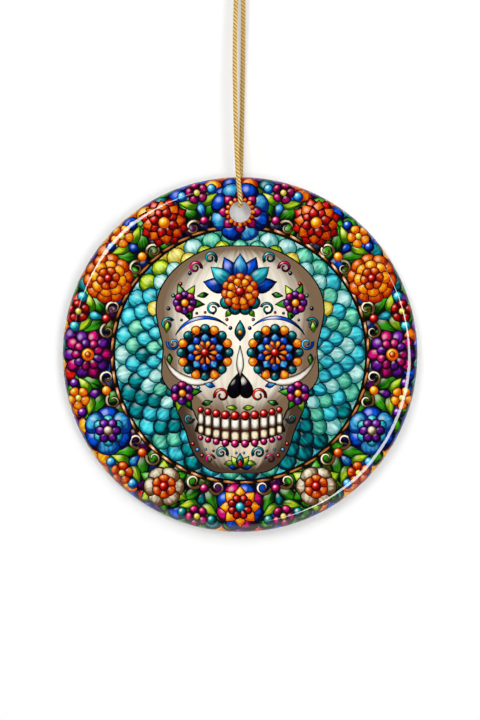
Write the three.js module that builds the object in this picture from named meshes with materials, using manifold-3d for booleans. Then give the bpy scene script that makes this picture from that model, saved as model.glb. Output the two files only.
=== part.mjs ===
// Round porcelain hanging ornament on a thin gold cord, drawn in millimetres.
// +Z is up and the printed face looks towards -Y. The origin is the top of the
// hanging loop, at the underside of the knot, where a hook or twig takes hold.
import * as THREE from "three";
import { mergeVertices } from "three/addons/utils/BufferGeometryUtils.js";
import Module from "manifold-3d";

const wasm = await Module();
wasm.setup();

// Driving sizes of the disc.
const discDiameter = 70;
const discThickness = 3;
const frontRoundReach = 2;
const frontRoundDepth = 1.4;
const backRoundReach = 1.3;
const backRoundDepth = 1.1;

// Driving sizes of the printed coat that covers the front and its round edge.
const coatThickness = 0.25;
const coatBond = 0.03;

// Driving sizes of the hanging hole. The web is what is left above it.
const holeDiameter = 4;
const webHeight = 4.9;
const holeLip = 0.5;

// Driving sizes of the cord and its knot.
const cordDiameter = 1;
const cordClearance = 0.15;
const tailGap = 0.3;
const knotTurns = 4;
const knotTurnGap = 0.06;

// How finely round forms are divided.
const discSegments = 96;
const holeSegments = 32;
const roundSteps = 7;
const lipSteps = 4;
const ridgeSteps = 6;
const knotSegments = 24;
const cordSides = 8;

// One overrun serves every cut.
const cutOverrun = 1;

// Sizes that follow from the driving ones.
const discRadius = discDiameter / 2;
const halfThickness = discThickness / 2;
const holeRadius = holeDiameter / 2;
const cordRadius = cordDiameter / 2;
const knotTurnPitch = cordDiameter + knotTurnGap;
const knotHeight = knotTurns * knotTurnPitch;

// The cord's route, point by point. The front run starts at the hole, climbs
// the printed face and leans to the left on its way up to the knot.
const frontRoute = [
  [0.0, -2.25, -46.1],
  [-0.11, -2.25, -45.0],
  [-0.31, -2.25, -43.0],
  [-0.47, -2.25, -41.0],
  [-0.58, -2.25, -39.0],
  [-0.7, -2.25, -36.0],
  [-0.8, -2.25, -33.0],
  [-0.91, -2.24, -29.0],
  [-0.99, -2.18, -25.0],
  [-1.04, -2.02, -21.0],
  [-1.04, -1.75, -17.0],
  [-0.99, -1.4, -13.0],
  [-0.89, -1.0, -9.0],
  [-0.76, -0.62, -5.5],
  [-0.64, -0.3, -2.6],
  [-0.56, -0.14, -1.2],
  [-0.53, -0.08, -0.3],
];

// The back run leans a little to the right, behind the front one.
const backRoute = [
  [0.0, 2.25, -46.1],
  [0.03, 2.25, -45.0],
  [0.08, 2.25, -43.0],
  [0.13, 2.25, -41.0],
  [0.18, 2.25, -39.0],
  [0.25, 2.25, -36.0],
  [0.31, 2.25, -33.0],
  [0.39, 2.24, -29.0],
  [0.46, 2.18, -25.0],
  [0.52, 2.02, -21.0],
  [0.57, 1.75, -17.0],
  [0.6, 1.4, -13.0],
  [0.61, 1.0, -9.0],
  [0.6, 0.62, -5.5],
  [0.57, 0.3, -2.6],
  [0.54, 0.14, -1.2],
  [0.53, 0.08, -0.3],
];

// The bight is the short turn of cord that passes under the web, inside the
// hole, from the front face to the back face.
const bightRoute = [
  [0.0, -2.25, -46.4],
  [0.0, -2.17, -46.83],
  [0.0, -1.9, -47.25],
  [0.0, -1.48, -47.52],
  [0.0, -1.05, -47.6],
  [0.0, -0.5, -47.6],
  [0.0, 0.0, -47.6],
  [0.0, 0.5, -47.6],
  [0.0, 1.05, -47.6],
  [0.0, 1.48, -47.52],
  [0.0, 1.9, -47.25],
  [0.0, 2.17, -46.83],
  [0.0, 2.25, -46.4],
];

// The two cut ends above the knot spread apart. Heights count from its top.
const frontTailRoute = [
  [-0.53, -0.05, 0.0],
  [-0.6, -0.08, 1.3],
  [-0.9, -0.2, 3.3],
  [-1.5, -0.4, 5.7],
  [-2.5, -0.7, 8.4],
];
const backTailRoute = [
  [0.53, 0.05, 0.0],
  [0.58, 0.08, 1.3],
  [0.8, 0.2, 3.1],
  [1.15, 0.45, 5.1],
  [1.7, 0.8, 7.5],
];

// How many steps each stretch of cord takes along its route.
const runSteps = 20;
const bightSteps = 14;
const tailSteps = 5;

// The disc hangs on the bight, so the hole sits just under its lowest point.
const bightHeight = Math.min(...bightRoute.map((point) => point[2]));
const holeHeight = bightHeight - (holeRadius - cordRadius - cordClearance);
const holeOffset = discRadius - webHeight - holeRadius;
const discHeight = holeHeight - holeOffset;

const porcelain = new THREE.MeshStandardMaterial({
  name: "porcelain",
  color: 0xf3f1ec,
  roughness: 0.18,
  metalness: 0,
});
const printedCoat = new THREE.MeshStandardMaterial({
  name: "printed_coat",
  color: 0x2f9aa0,
  roughness: 0.1,
  metalness: 0,
});
const goldCord = new THREE.MeshStandardMaterial({
  name: "gold_cord",
  color: 0xd9a441,
  roughness: 0.42,
  metalness: 0.6,
});

// A closed three.js geometry as a solid that can be joined and cut.
function solidOf(geometry) {
  const bare = geometry.clone();
  bare.deleteAttribute("normal");
  bare.deleteAttribute("uv");
  const merged = mergeVertices(bare);
  return new wasm.Manifold(
    new wasm.Mesh({
      numProp: 3,
      vertProperties: new Float32Array(merged.attributes.position.array),
      triVerts: new Uint32Array(merged.index.array),
    }),
  );
}

// The other way round: a solid's skin as a three.js geometry.
function geometryOf(solid) {
  const skin = solid.getMesh();
  const geometry = new THREE.BufferGeometry();
  geometry.setAttribute(
    "position",
    new THREE.BufferAttribute(new Float32Array(skin.vertProperties), 3),
  );
  geometry.setIndex(new THREE.BufferAttribute(new Uint32Array(skin.triVerts), 1));
  geometry.computeVertexNormals();
  return geometry;
}

// Points along a quarter of an ellipse, from one quarter angle to the next.
function quarterRound(centreX, centreY, reach, depth, startAngle, steps) {
  const points = [];
  for (let step = 0; step <= steps; step += 1) {
    const angle = startAngle + (Math.PI / 2) * (step / steps);
    points.push(
      new THREE.Vector2(
        centreX + reach * Math.cos(angle),
        centreY + depth * Math.sin(angle),
      ),
    );
  }
  return points;
}

// The front's round edge, moved inwards by inset. It runs from the flat of the
// face out to the side of the disc.
function frontEdge(inset) {
  return quarterRound(
    discRadius - frontRoundReach,
    -halfThickness + frontRoundDepth,
    frontRoundReach - inset,
    frontRoundDepth - inset,
    -Math.PI / 2,
    roundSteps,
  );
}

// The hanging hole as a cutter along Y, flared at both faces by a round lip.
function holeCutter() {
  const flare = holeRadius + holeLip;
  const frontLip = quarterRound(
    flare,
    -halfThickness + holeLip,
    holeLip,
    holeLip,
    Math.PI,
    lipSteps,
  ).reverse();
  const backLip = quarterRound(
    flare,
    halfThickness - holeLip,
    holeLip,
    holeLip,
    Math.PI / 2,
    lipSteps,
  ).reverse();
  const profile = [
    new THREE.Vector2(0, -halfThickness - cutOverrun),
    new THREE.Vector2(flare, -halfThickness - cutOverrun),
    ...frontLip,
    ...backLip,
    new THREE.Vector2(flare, halfThickness + cutOverrun),
    new THREE.Vector2(0, halfThickness + cutOverrun),
  ];
  const cutter = new THREE.LatheGeometry(profile, holeSegments);
  return solidOf(cutter.translate(0, 0, holeOffset));
}

// The fired porcelain body. Its front is set back by the coat, and a ledge at
// the side carries the coat's edge.
function ceramicDisc() {
  const setBack = coatThickness + coatBond;
  const ledgeHeight = -halfThickness + frontRoundDepth + coatBond;
  const backEdge = quarterRound(
    discRadius - backRoundReach,
    halfThickness - backRoundDepth,
    backRoundReach,
    backRoundDepth,
    0,
    roundSteps,
  );
  const profile = [
    new THREE.Vector2(0, -halfThickness + setBack),
    ...frontEdge(setBack),
    new THREE.Vector2(discRadius - setBack, ledgeHeight),
    new THREE.Vector2(discRadius, ledgeHeight),
    ...backEdge,
    new THREE.Vector2(0, halfThickness),
  ];
  const blank = solidOf(new THREE.LatheGeometry(profile, discSegments));
  return new THREE.Mesh(geometryOf(blank.subtract(holeCutter())), porcelain);
}

// The coat that carries the picture: a thin shell over the face that turns
// down over the round edge and ends on the ledge.
function printCoat() {
  const profile = [
    new THREE.Vector2(0, -halfThickness),
    ...frontEdge(0),
    ...frontEdge(coatThickness).reverse(),
    new THREE.Vector2(0, -halfThickness + coatThickness),
  ];
  const blank = solidOf(new THREE.LatheGeometry(profile, discSegments));
  return new THREE.Mesh(geometryOf(blank.subtract(holeCutter())), printedCoat);
}

// A stretch of cord along a route, with a round section of a few sides.
function cordAlong(route, steps) {
  const corners = [];
  for (let side = 0; side < cordSides; side += 1) {
    const angle = (2 * Math.PI * side) / cordSides;
    corners.push(
      new THREE.Vector2(cordRadius * Math.cos(angle), cordRadius * Math.sin(angle)),
    );
  }
  const path = new THREE.CatmullRomCurve3(
    route.map((point) => new THREE.Vector3(...point)),
  );
  const tube = new THREE.ExtrudeGeometry(new THREE.Shape(corners), {
    steps,
    bevelEnabled: false,
    extrudePath: path,
  });
  return new THREE.Mesh(tube, goldCord);
}

// The knot: both runs pass up its middle, side by side, and the cord is wound
// round them, so from outside it is a barrel with one ridge for each turn.
function cordKnot() {
  const turnRadius = cordDiameter + cordRadius;
  const profile = [new THREE.Vector2(0, 0)];
  for (let turn = 0; turn < knotTurns; turn += 1) {
    const middle = (turn + 1 / 2) * knotTurnPitch;
    for (let step = 0; step <= ridgeSteps; step += 1) {
      const angle = Math.PI * (step / ridgeSteps - 1 / 2);
      const point = new THREE.Vector2(
        turnRadius + cordRadius * Math.cos(angle),
        middle + (knotTurnPitch / 2) * Math.sin(angle),
      );
      if (step > 0 || turn === 0) {
        profile.push(point);
      }
    }
  }
  profile.push(new THREE.Vector2(0, knotHeight));
  const barrel = new THREE.LatheGeometry(profile, knotSegments);
  return new THREE.Mesh(barrel.rotateX(Math.PI / 2), goldCord);
}

// Gives a mesh its name and puts it in a group.
function place(group, name, mesh) {
  mesh.name = name;
  group.add(mesh);
}

const ornament = new THREE.Group();
ornament.position.set(0, 0, discHeight);
place(ornament, "ceramic_disc", ceramicDisc());
place(ornament, "print_coat", printCoat());

const loop = new THREE.Group();
place(loop, "cord_bight", cordAlong(bightRoute, bightSteps));
place(loop, "cord_front_run", cordAlong(frontRoute, runSteps));
place(loop, "cord_back_run", cordAlong(backRoute, runSteps));

const knot = new THREE.Group();
place(knot, "cord_knot", cordKnot());
const tails = new THREE.Group();
tails.position.set(0, 0, knotHeight + tailGap);
place(tails, "cord_front_tail", cordAlong(frontTailRoute, tailSteps));
place(tails, "cord_back_tail", cordAlong(backTailRoute, tailSteps));
knot.add(tails);

const part = new THREE.Group();
part.add(ornament, loop, knot);

export default part;
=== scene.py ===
"""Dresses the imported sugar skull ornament: its print, its porcelain, its gold cord and its studio."""

import logging
import math
import random
from collections.abc import Callable, Iterator
from dataclasses import dataclass, field
from enum import Enum
from functools import cached_property

import bmesh
import bpy
import numpy as np
from mathutils import Matrix, Vector


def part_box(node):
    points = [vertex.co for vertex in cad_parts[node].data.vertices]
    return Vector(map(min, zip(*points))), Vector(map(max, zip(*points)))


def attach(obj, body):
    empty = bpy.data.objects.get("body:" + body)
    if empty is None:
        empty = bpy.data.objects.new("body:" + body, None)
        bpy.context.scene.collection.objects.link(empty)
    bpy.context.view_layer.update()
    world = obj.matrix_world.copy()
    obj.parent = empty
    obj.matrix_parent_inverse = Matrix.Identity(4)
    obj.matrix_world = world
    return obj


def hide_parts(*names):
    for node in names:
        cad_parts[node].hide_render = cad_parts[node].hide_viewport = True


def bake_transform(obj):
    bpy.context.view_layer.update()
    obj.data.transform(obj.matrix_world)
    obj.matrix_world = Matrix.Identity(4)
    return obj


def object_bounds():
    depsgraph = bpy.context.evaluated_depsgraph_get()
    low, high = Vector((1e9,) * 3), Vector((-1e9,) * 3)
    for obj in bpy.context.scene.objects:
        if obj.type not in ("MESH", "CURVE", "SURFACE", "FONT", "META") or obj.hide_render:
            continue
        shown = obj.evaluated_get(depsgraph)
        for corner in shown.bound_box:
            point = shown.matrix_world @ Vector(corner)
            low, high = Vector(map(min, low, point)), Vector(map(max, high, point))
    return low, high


Pair = tuple[float, float]
Route = tuple[tuple[float, float, float], ...]
Colour = tuple[float, float, float]
Piece = bpy.types.Object
Socket = bpy.types.NodeSocket
Material = bpy.types.Material

LOG = logging.getLogger("ornament")

MM = 0.001
FULL_TURN = 360.0
SIDES = (-1, 1)

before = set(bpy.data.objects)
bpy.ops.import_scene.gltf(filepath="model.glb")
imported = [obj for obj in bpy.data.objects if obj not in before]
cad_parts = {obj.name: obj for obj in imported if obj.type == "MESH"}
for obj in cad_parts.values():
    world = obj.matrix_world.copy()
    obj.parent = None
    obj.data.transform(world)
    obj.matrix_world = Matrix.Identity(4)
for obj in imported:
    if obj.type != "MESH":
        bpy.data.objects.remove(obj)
CAD_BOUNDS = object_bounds()


def bare_scene() -> None:
    """Deselects everything, so that an operator acts only on what is made next."""
    if bpy.context.object is not None and bpy.context.object.mode != "OBJECT":
        bpy.ops.object.mode_set(mode="OBJECT")
    bpy.ops.object.select_all(action="DESELECT")


def made_active(piece: Piece) -> None:
    """Selects one piece alone and makes it the active one."""
    bare_scene()
    piece.select_set(True)
    bpy.context.view_layer.objects.active = piece


def apply_modifier(piece: Piece, kind: str, **settings: object) -> None:
    """Adds a modifier, sets it and applies it.

    Args:
        piece: The mesh object that gets the modifier.
        kind: The modifier's type.
        settings: Its settings by name.
    """
    made_active(piece)
    modifier = piece.modifiers.new(kind.lower(), kind)
    for name, value in settings.items():
        setattr(modifier, name, value)
    bpy.ops.object.modifier_apply(modifier=modifier.name)


def join_into(piece: Piece, others: list[Piece]) -> None:
    """Joins other pieces into one."""
    made_active(piece)
    for other in others:
        other.select_set(True)
    bpy.ops.object.join()


def stand_for(piece: Piece, node: str, body: str | None) -> None:
    """Puts a piece in the place of a CAD node.

    Args:
        piece: The piece.
        node: The node that it stands for.
        body: The body that it rides on, or none, where it is attached to none.
    """
    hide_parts(node)
    if body:
        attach(piece, body)


def linear(colour: Colour) -> tuple[float, float, float, float]:
    """Turns a colour as seen on a screen into the linear one that shaders use."""
    values = [c / 12.92 if c <= 0.04045 else ((c + 0.055) / 1.055) ** 2.4 for c in colour]
    return (*values, 1.0)


class Ink(Enum):
    """The print's colours, each as its shaded tone and its lit tone."""

    TEAL = ((0.0, 0.13, 0.17), (0.04, 0.66, 0.68))
    AQUA = ((0.0, 0.34, 0.44), (0.32, 0.95, 0.98))
    MINT = ((0.03, 0.42, 0.36), (0.54, 0.97, 0.82))
    FOAM = ((0.24, 0.58, 0.58), (0.84, 1.0, 0.97))
    LIME = ((0.16, 0.36, 0.0), (0.90, 1.0, 0.20))
    STRAW = ((0.66, 0.56, 0.06), (1.0, 0.98, 0.50))
    SUN = ((0.80, 0.30, 0.0), (1.0, 0.86, 0.13))
    ORANGE = ((0.60, 0.08, 0.0), (1.0, 0.55, 0.03))
    SCARLET = ((0.30, 0.0, 0.01), (1.0, 0.12, 0.06))
    ROSE = ((0.20, 0.0, 0.12), (0.98, 0.08, 0.54))
    VIOLET = ((0.07, 0.0, 0.18), (0.56, 0.14, 0.76))
    COBALT = ((0.0, 0.02, 0.22), (0.03, 0.38, 0.97))
    SKY = ((0.0, 0.16, 0.46), (0.32, 0.82, 1.0))
    LEAF = ((0.0, 0.08, 0.02), (0.27, 0.76, 0.08))
    CREAM = ((0.36, 0.24, 0.12), (1.0, 0.95, 0.82))
    BONE = ((0.47, 0.38, 0.29), (1.0, 0.97, 0.90))
    IVORY = ((0.42, 0.34, 0.26), (1.0, 0.99, 0.95))
    BRONZE = ((0.12, 0.04, 0.0), (0.90, 0.56, 0.26))
    SHADED_BONE = ((0.28, 0.21, 0.16), (0.92, 0.85, 0.74))
    UMBER = ((0.10, 0.05, 0.03), (0.36, 0.24, 0.17))
    GUM = ((0.06, 0.0, 0.01), (0.30, 0.05, 0.06))
    MOSS = ((0.01, 0.06, 0.0), (0.32, 0.48, 0.04))
    PLUM = ((0.04, 0.0, 0.06), (0.36, 0.06, 0.38))
    NAVY = ((0.0, 0.01, 0.08), (0.04, 0.14, 0.40))
    SLATE = ((0.02, 0.02, 0.07), (0.26, 0.30, 0.44))
    NIGHT = ((0.005, 0.003, 0.012), (0.05, 0.03, 0.10))


class Canvas:
    """The node tree of a material or world, with short ways to add and join nodes."""

    def __init__(self, owner: Material | bpy.types.World) -> None:
        """Starts an empty tree.

        Args:
            owner: The new material or world.
        """
        owner.use_nodes = True
        self.owner = owner
        self.tree = owner.node_tree
        self.tree.nodes.clear()

    def node(self, kind: str, **settings: object) -> bpy.types.Node:
        """Adds one node.

        Args:
            kind: The node's type name.
            settings: Its own settings by name.

        Returns:
            The new node.
        """
        made = self.tree.nodes.new(kind)
        for name, value in settings.items():
            setattr(made, name, value)
        return made

    def join(self, source: Socket, target: Socket) -> None:
        """Links one socket to another."""
        self.tree.links.new(source, target)

    def feed(self, socket: Socket, value: object) -> None:
        """Links a socket if the value is one, and otherwise sets it."""
        if isinstance(value, Socket):
            self.join(value, socket)
        else:
            socket.default_value = value

    def fed(self, kind: str, *values: object, **settings: object) -> bpy.types.Node:
        """Adds one node and feeds its first inputs.

        Args:
            kind: The node's type name.
            values: Its inputs in order, as numbers or sockets.
            settings: Its own settings by name.

        Returns:
            The new node.
        """
        made = self.node(kind, **settings)
        for socket, value in zip(made.inputs, values):
            self.feed(socket, value)
        return made

    def sum(self, operation: str, *values: object) -> Socket:
        """Gives the result of a math operation, such as MULTIPLY."""
        return self.fed("ShaderNodeMath", *values, operation=operation).outputs[0]

    def squared(self, value: Socket) -> Socket:
        """Multiplies a value by itself."""
        return self.sum("MULTIPLY", value, value)

    def less(self, value: Socket) -> Socket:
        """Gives 1 less the value."""
        return self.sum("SUBTRACT", 1.0, value)

    def bulge(self, share: Socket) -> Socket:
        """Gives 1 halfway between 0 and 1, and 0 at both."""
        return self.less(self.squared(self.sum("MULTIPLY_ADD", share, 2.0, -1.0)))

    def eased(self, value: object, low: float, high: float) -> Socket:
        """Goes smoothly from 0 at low to 1 at high."""
        settings = {"interpolation_type": "SMOOTHSTEP"}
        return self.fed("ShaderNodeMapRange", value, low, high, **settings).outputs[0]

    def mixed(self, share: object, first: object, second: object, kind: str = "RGBA") -> Socket:
        """Mixes two colours, or two numbers.

        Args:
            share: How much of the second there is.
            first: What there is at 0.
            second: What there is at 1.
            kind: RGBA for colours and FLOAT for numbers.

        Returns:
            The mixture.
        """
        place, result = {"RGBA": (6, 2), "FLOAT": (2, 0)}[kind]
        made = self.node("ShaderNodeMix", data_type=kind)
        for socket, value in ((0, share), (place, first), (place + 1, second)):
            self.feed(made.inputs[socket], value)
        return made.outputs[result]

    def split(self, vector: Socket) -> tuple[Socket, ...]:
        """Splits a vector into its three parts."""
        return tuple(self.fed("ShaderNodeSeparateXYZ", vector).outputs)

    def bundled(self, *values: object) -> Socket:
        """Makes a vector of three parts."""
        return self.fed("ShaderNodeCombineXYZ", *values).outputs[0]

    def noise(self, vector: Socket, scale: float, detail: float) -> Socket:
        """Adds a noise texture, which is about 0.5 on average.

        Args:
            vector: Where it is looked up.
            scale: How fine it is.
            detail: How many finer layers it has.

        Returns:
            The noise.
        """
        made = self.node("ShaderNodeTexNoise")
        for name, value in (("Vector", vector), ("Scale", scale), ("Detail", detail)):
            self.feed(made.inputs[name], value)
        return made.outputs[0]

    def bump(self, height: Socket, distance: float, strength: float) -> Socket:
        """Adds a bump.

        Args:
            height: The height as a number.
            distance: How deep it is, in metres.
            strength: How much of it shows.

        Returns:
            The bent normal.
        """
        made = self.node("ShaderNodeBump")
        for name, value in (("Height", height), ("Distance", distance), ("Strength", strength)):
            self.feed(made.inputs[name], value)
        return made.outputs[0]

    def attribute(self, name: str, output: str) -> Socket:
        """Reads an attribute of the mesh."""
        return self.node("ShaderNodeAttribute", attribute_name=name).outputs[output]

    def place(self) -> Socket:
        """Reads the place on the object."""
        return self.node("ShaderNodeTexCoord").outputs["Object"]

    def own_map(self) -> tuple[Socket, Socket]:
        """Reads the mesh's own map, as how far across and how far along."""
        return self.split(self.node("ShaderNodeUVMap", uv_map="UVMap").outputs[0])[:2]

    def finished(self, shader: Socket, output: str = "Material") -> Material | bpy.types.World:
        """Joins the shader to the output of the tree and gives its owner."""
        self.join(shader, self.node(f"ShaderNodeOutput{output}").inputs[0])
        return self.owner

    def gloss(self, colour: object, roughness: float, **sockets: object) -> Material:
        """Finishes the material with the Principled shader.

        Args:
            colour: The base colour.
            roughness: How rough the body under any coat is.
            sockets: Other sockets by name, with _ for a space.

        Returns:
            The material.
        """
        shader = self.node("ShaderNodeBsdfPrincipled")
        self.feed(shader.inputs["Base Color"], colour)
        self.feed(shader.inputs["Roughness"], roughness)
        for name, value in sockets.items():
            self.feed(shader.inputs[name.replace("_", " ")], value)
        return self.finished(shader.outputs[0])

    def clear_gloss(self, colour: Socket) -> Material:
        """Finishes a printed colour with the hard clear gloss that lies over the whole print."""
        coat = {"Coat_Weight": 1.0, "Coat_Roughness": 0.03, "Coat_IOR": 1.75}
        return self.gloss(colour, 0.3, Specular_IOR_Level=0.0, **coat)


@dataclass(frozen=True)
class PrintedInk:
    """One manner of painting a cell of the print, under the clear gloss.

    A cell is darker along its line, catches a painted light from the upper left, and has fine
    strokes along its length.
    """

    name: str
    lift: float = 0.0
    puff: float = 0.45
    sun: float = 0.55
    root: float = 0.0
    strokes: float = 0.35
    stroke_count: float = 7.0
    mottle: float = 0.25
    gleam: float = 0.35
    middle_tone: float = 0.49
    tone_span: Pair = (0.21, 0.83)
    seeds: float = 41.0
    gleam_spot: Pair = (-0.28, 0.38)
    gleam_ink: Colour = (1.0, 0.98, 0.92)
    line_ink: Colour = (0.035, 0.025, 0.03)

    def material(self) -> Material:
        """Makes the material, which reads the cell's own attributes and map."""
        canvas = Canvas(bpy.data.materials.new(self.name))
        across, along = canvas.own_map()
        heart_x, seed, heart_z = canvas.split(canvas.attribute("heart", "Vector"))
        middle = canvas.sum("MULTIPLY", canvas.bulge(across), canvas.bulge(along))
        grain = canvas.sum("MULTIPLY", seed, self.seeds)
        fine = canvas.sum("MULTIPLY", across, self.stroke_count)
        strokes = canvas.bundled(fine, canvas.sum("MULTIPLY", along, 1.3), grain)
        strokes = canvas.noise(strokes, 1.0, 3.0)
        blots = canvas.noise(canvas.bundled(heart_x, heart_z, grain), 2.2, 2.0)
        light = canvas.sum("MULTIPLY_ADD", heart_x, -0.6, canvas.sum("MULTIPLY", heart_z, 0.75))
        tone = self.middle_tone + self.lift
        for part, share in (
            (light, self.sun * 0.5),
            (canvas.squared(canvas.less(middle)), -self.puff),
            (canvas.squared(canvas.less(along)), -self.root),
            (canvas.sum("SUBTRACT", strokes, 0.5), self.strokes),
            (canvas.sum("SUBTRACT", blots, 0.5), self.mottle),
        ):
            tone = canvas.sum("MULTIPLY_ADD", part, share, tone)
        tones = (canvas.attribute(name, "Color") for name in ("ink_deep", "ink_light"))
        colour = canvas.mixed(canvas.eased(tone, *self.tone_span), *tones)
        off_x = canvas.sum("SUBTRACT", heart_x, self.gleam_spot[0])
        off_z = canvas.sum("SUBTRACT", heart_z, self.gleam_spot[1])
        far = canvas.sum("ADD", canvas.squared(off_x), canvas.squared(off_z))
        shine = canvas.less(canvas.eased(canvas.sum("SQRT", far), 0.05, 0.42))
        shine = canvas.sum("MULTIPLY", shine, canvas.eased(middle, 0.15, 0.6))
        shine = canvas.sum("MULTIPLY", shine, self.gleam)
        colour = canvas.mixed(shine, colour, linear(self.gleam_ink))
        line = canvas.attribute("ink_line", "Fac")
        return canvas.clear_gloss(canvas.mixed(line, colour, linear(self.line_ink)))


PETAL_MANNER = PrintedInk("petal_ink", lift=0.08, root=0.5, puff=0.45, strokes=0.6, gleam=0.32)
GLASS_MANNER = PrintedInk(
    "glass_ink", lift=0.12, root=0.4, puff=0.5, sun=0.35, strokes=0.8, stroke_count=5, gleam=0.25
)
BEAD_MANNER = PrintedInk("bead_ink", lift=0.05, puff=0.6, sun=0.95, strokes=0.1, gleam=0.7)
BONE_MANNER = PrintedInk(
    "bone_ink", puff=0.75, sun=0.2, strokes=0.45, stroke_count=26, lift=0.2, gleam=0.0
)


@dataclass(frozen=True)
class Station:
    """One row of a cell, in millimetres: its middle, half its width and its turn in degrees."""

    x: float
    y: float
    half: float
    turn: float = 0.0


@dataclass(frozen=True)
class Cell:
    """One kind of cell: its rows from root to tip, its line, and its columns inside the line."""

    stations: tuple[Station, ...]
    line: float
    columns: int = 2
    lined_ends: bool = False


class Outline(Enum):
    """How a straight cell's width changes from its root to its tip."""

    ROUND_PETAL = "round petal"
    POINTED_PETAL = "pointed petal"
    LEAF = "leaf"
    DROP = "drop"
    BEAD = "bead"
    TOOTH = "tooth"
    SCALE = "scale"

    def width(self, share: float) -> float:
        """Gives the width at a share of the length.

        Args:
            share: 0 at the root and 1 at the tip.

        Returns:
            The width as a share of the widest.
        """
        if self is Outline.BEAD:
            return dome(2 * share - 1)
        if self is Outline.TOOTH:
            return max(0.0, 1 - abs(2 * share - 1) ** 6) ** 0.35
        if self is Outline.SCALE:
            return 1.0 if share < 0.55 else dome((share - 0.55) / 0.45)
        widest, root = {
            Outline.ROUND_PETAL: (0.62, 0.22),
            Outline.POINTED_PETAL: (0.48, 0.2),
            Outline.LEAF: (0.42, 0.04),
            Outline.DROP: (0.7, 0.05),
        }[self]
        if share <= widest:
            return root + (1 - root) * math.sin(math.pi / 2 * share / widest)
        rest = (share - widest) / (1 - widest)
        pointed = self in (Outline.POINTED_PETAL, Outline.LEAF)
        return 1 - rest**1.7 if pointed else dome(rest)


def dome(share: float) -> float:
    """Gives the height of a round arch of radius 1 at a share of that radius."""
    return math.sqrt(max(0.0, 1 - share**2))


def straight(
    outline: Outline, length: float, half: float, line: float = 0.11, rows: int = 8, columns: int = 4
) -> Cell:
    """Lays out a straight cell.

    Args:
        outline: Its kind of outline.
        length: Its length in millimetres.
        half: Half of its widest width in millimetres.
        line: The line's width in millimetres.
        rows: How many rows lie between its two end lines.
        columns: How many columns lie inside its line.

    Returns:
        The cell.
    """
    inside = [line + (length - 2 * line) * row / rows for row in range(rows + 1)]
    least = min(0.16, half * 0.5)
    stations = tuple(
        Station(0.0, y, max(half * outline.width(y / length), least)) for y in (0.0, *inside, length)
    )
    return Cell(stations, line, columns, lined_ends=True)


def curl(turns: float, reach: float, start: float, end: float, line: float) -> Cell:
    """Lays out a curl, which starts at the origin and winds in to the left.

    Args:
        turns: How far it winds.
        reach: How wide it is across, in millimetres.
        start: Half of its width at its start.
        end: Half of its width at its inner end.
        line: The line's width in millimetres.

    Returns:
        The cell.
    """
    found = []
    for share in np.arange(19) / 18:
        radius = reach / 2 * (1 - 0.72 * share)
        half = start + (end - start) * share
        found.append(on_circle(radius, turns * FULL_TURN * share, half, -reach / 2))
    return Cell(tuple(found), line)


def arc(radius: float, start: float, end: float, half: float, line: float, columns: int) -> Cell:
    """Lays out a crescent on a circle about the origin, with fine ends.

    Args:
        radius: The circle's radius in millimetres.
        start: The angle at which it starts, to the left from the right-hand side, in degrees.
        end: The angle at which it ends, which is the larger.
        half: Half of its widest width in millimetres.
        line: The line's width in millimetres.
        columns: How many columns lie inside its line.

    Returns:
        The cell.
    """
    found = []
    for share in np.arange(13) / 12:
        width = 0.1 + (half - 0.1) * math.sin(math.pi * share)
        found.append(on_circle(radius, start + (end - start) * share, width))
    return Cell(tuple(found), line, columns)


def on_circle(radius: float, turn: float, half: float, right: float = 0.0) -> Station:
    """Gives a row of a bent cell.

    Args:
        radius: The radius of the bend there.
        turn: Where it lies on the bend, to the left from the right-hand side, in degrees.
        half: Half of its width.
        right: How far right of the origin the bend's middle lies.

    Returns:
        The row.
    """
    angle = math.radians(turn)
    return Station(radius * math.cos(angle) + right, radius * math.sin(angle), half, turn)


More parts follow.
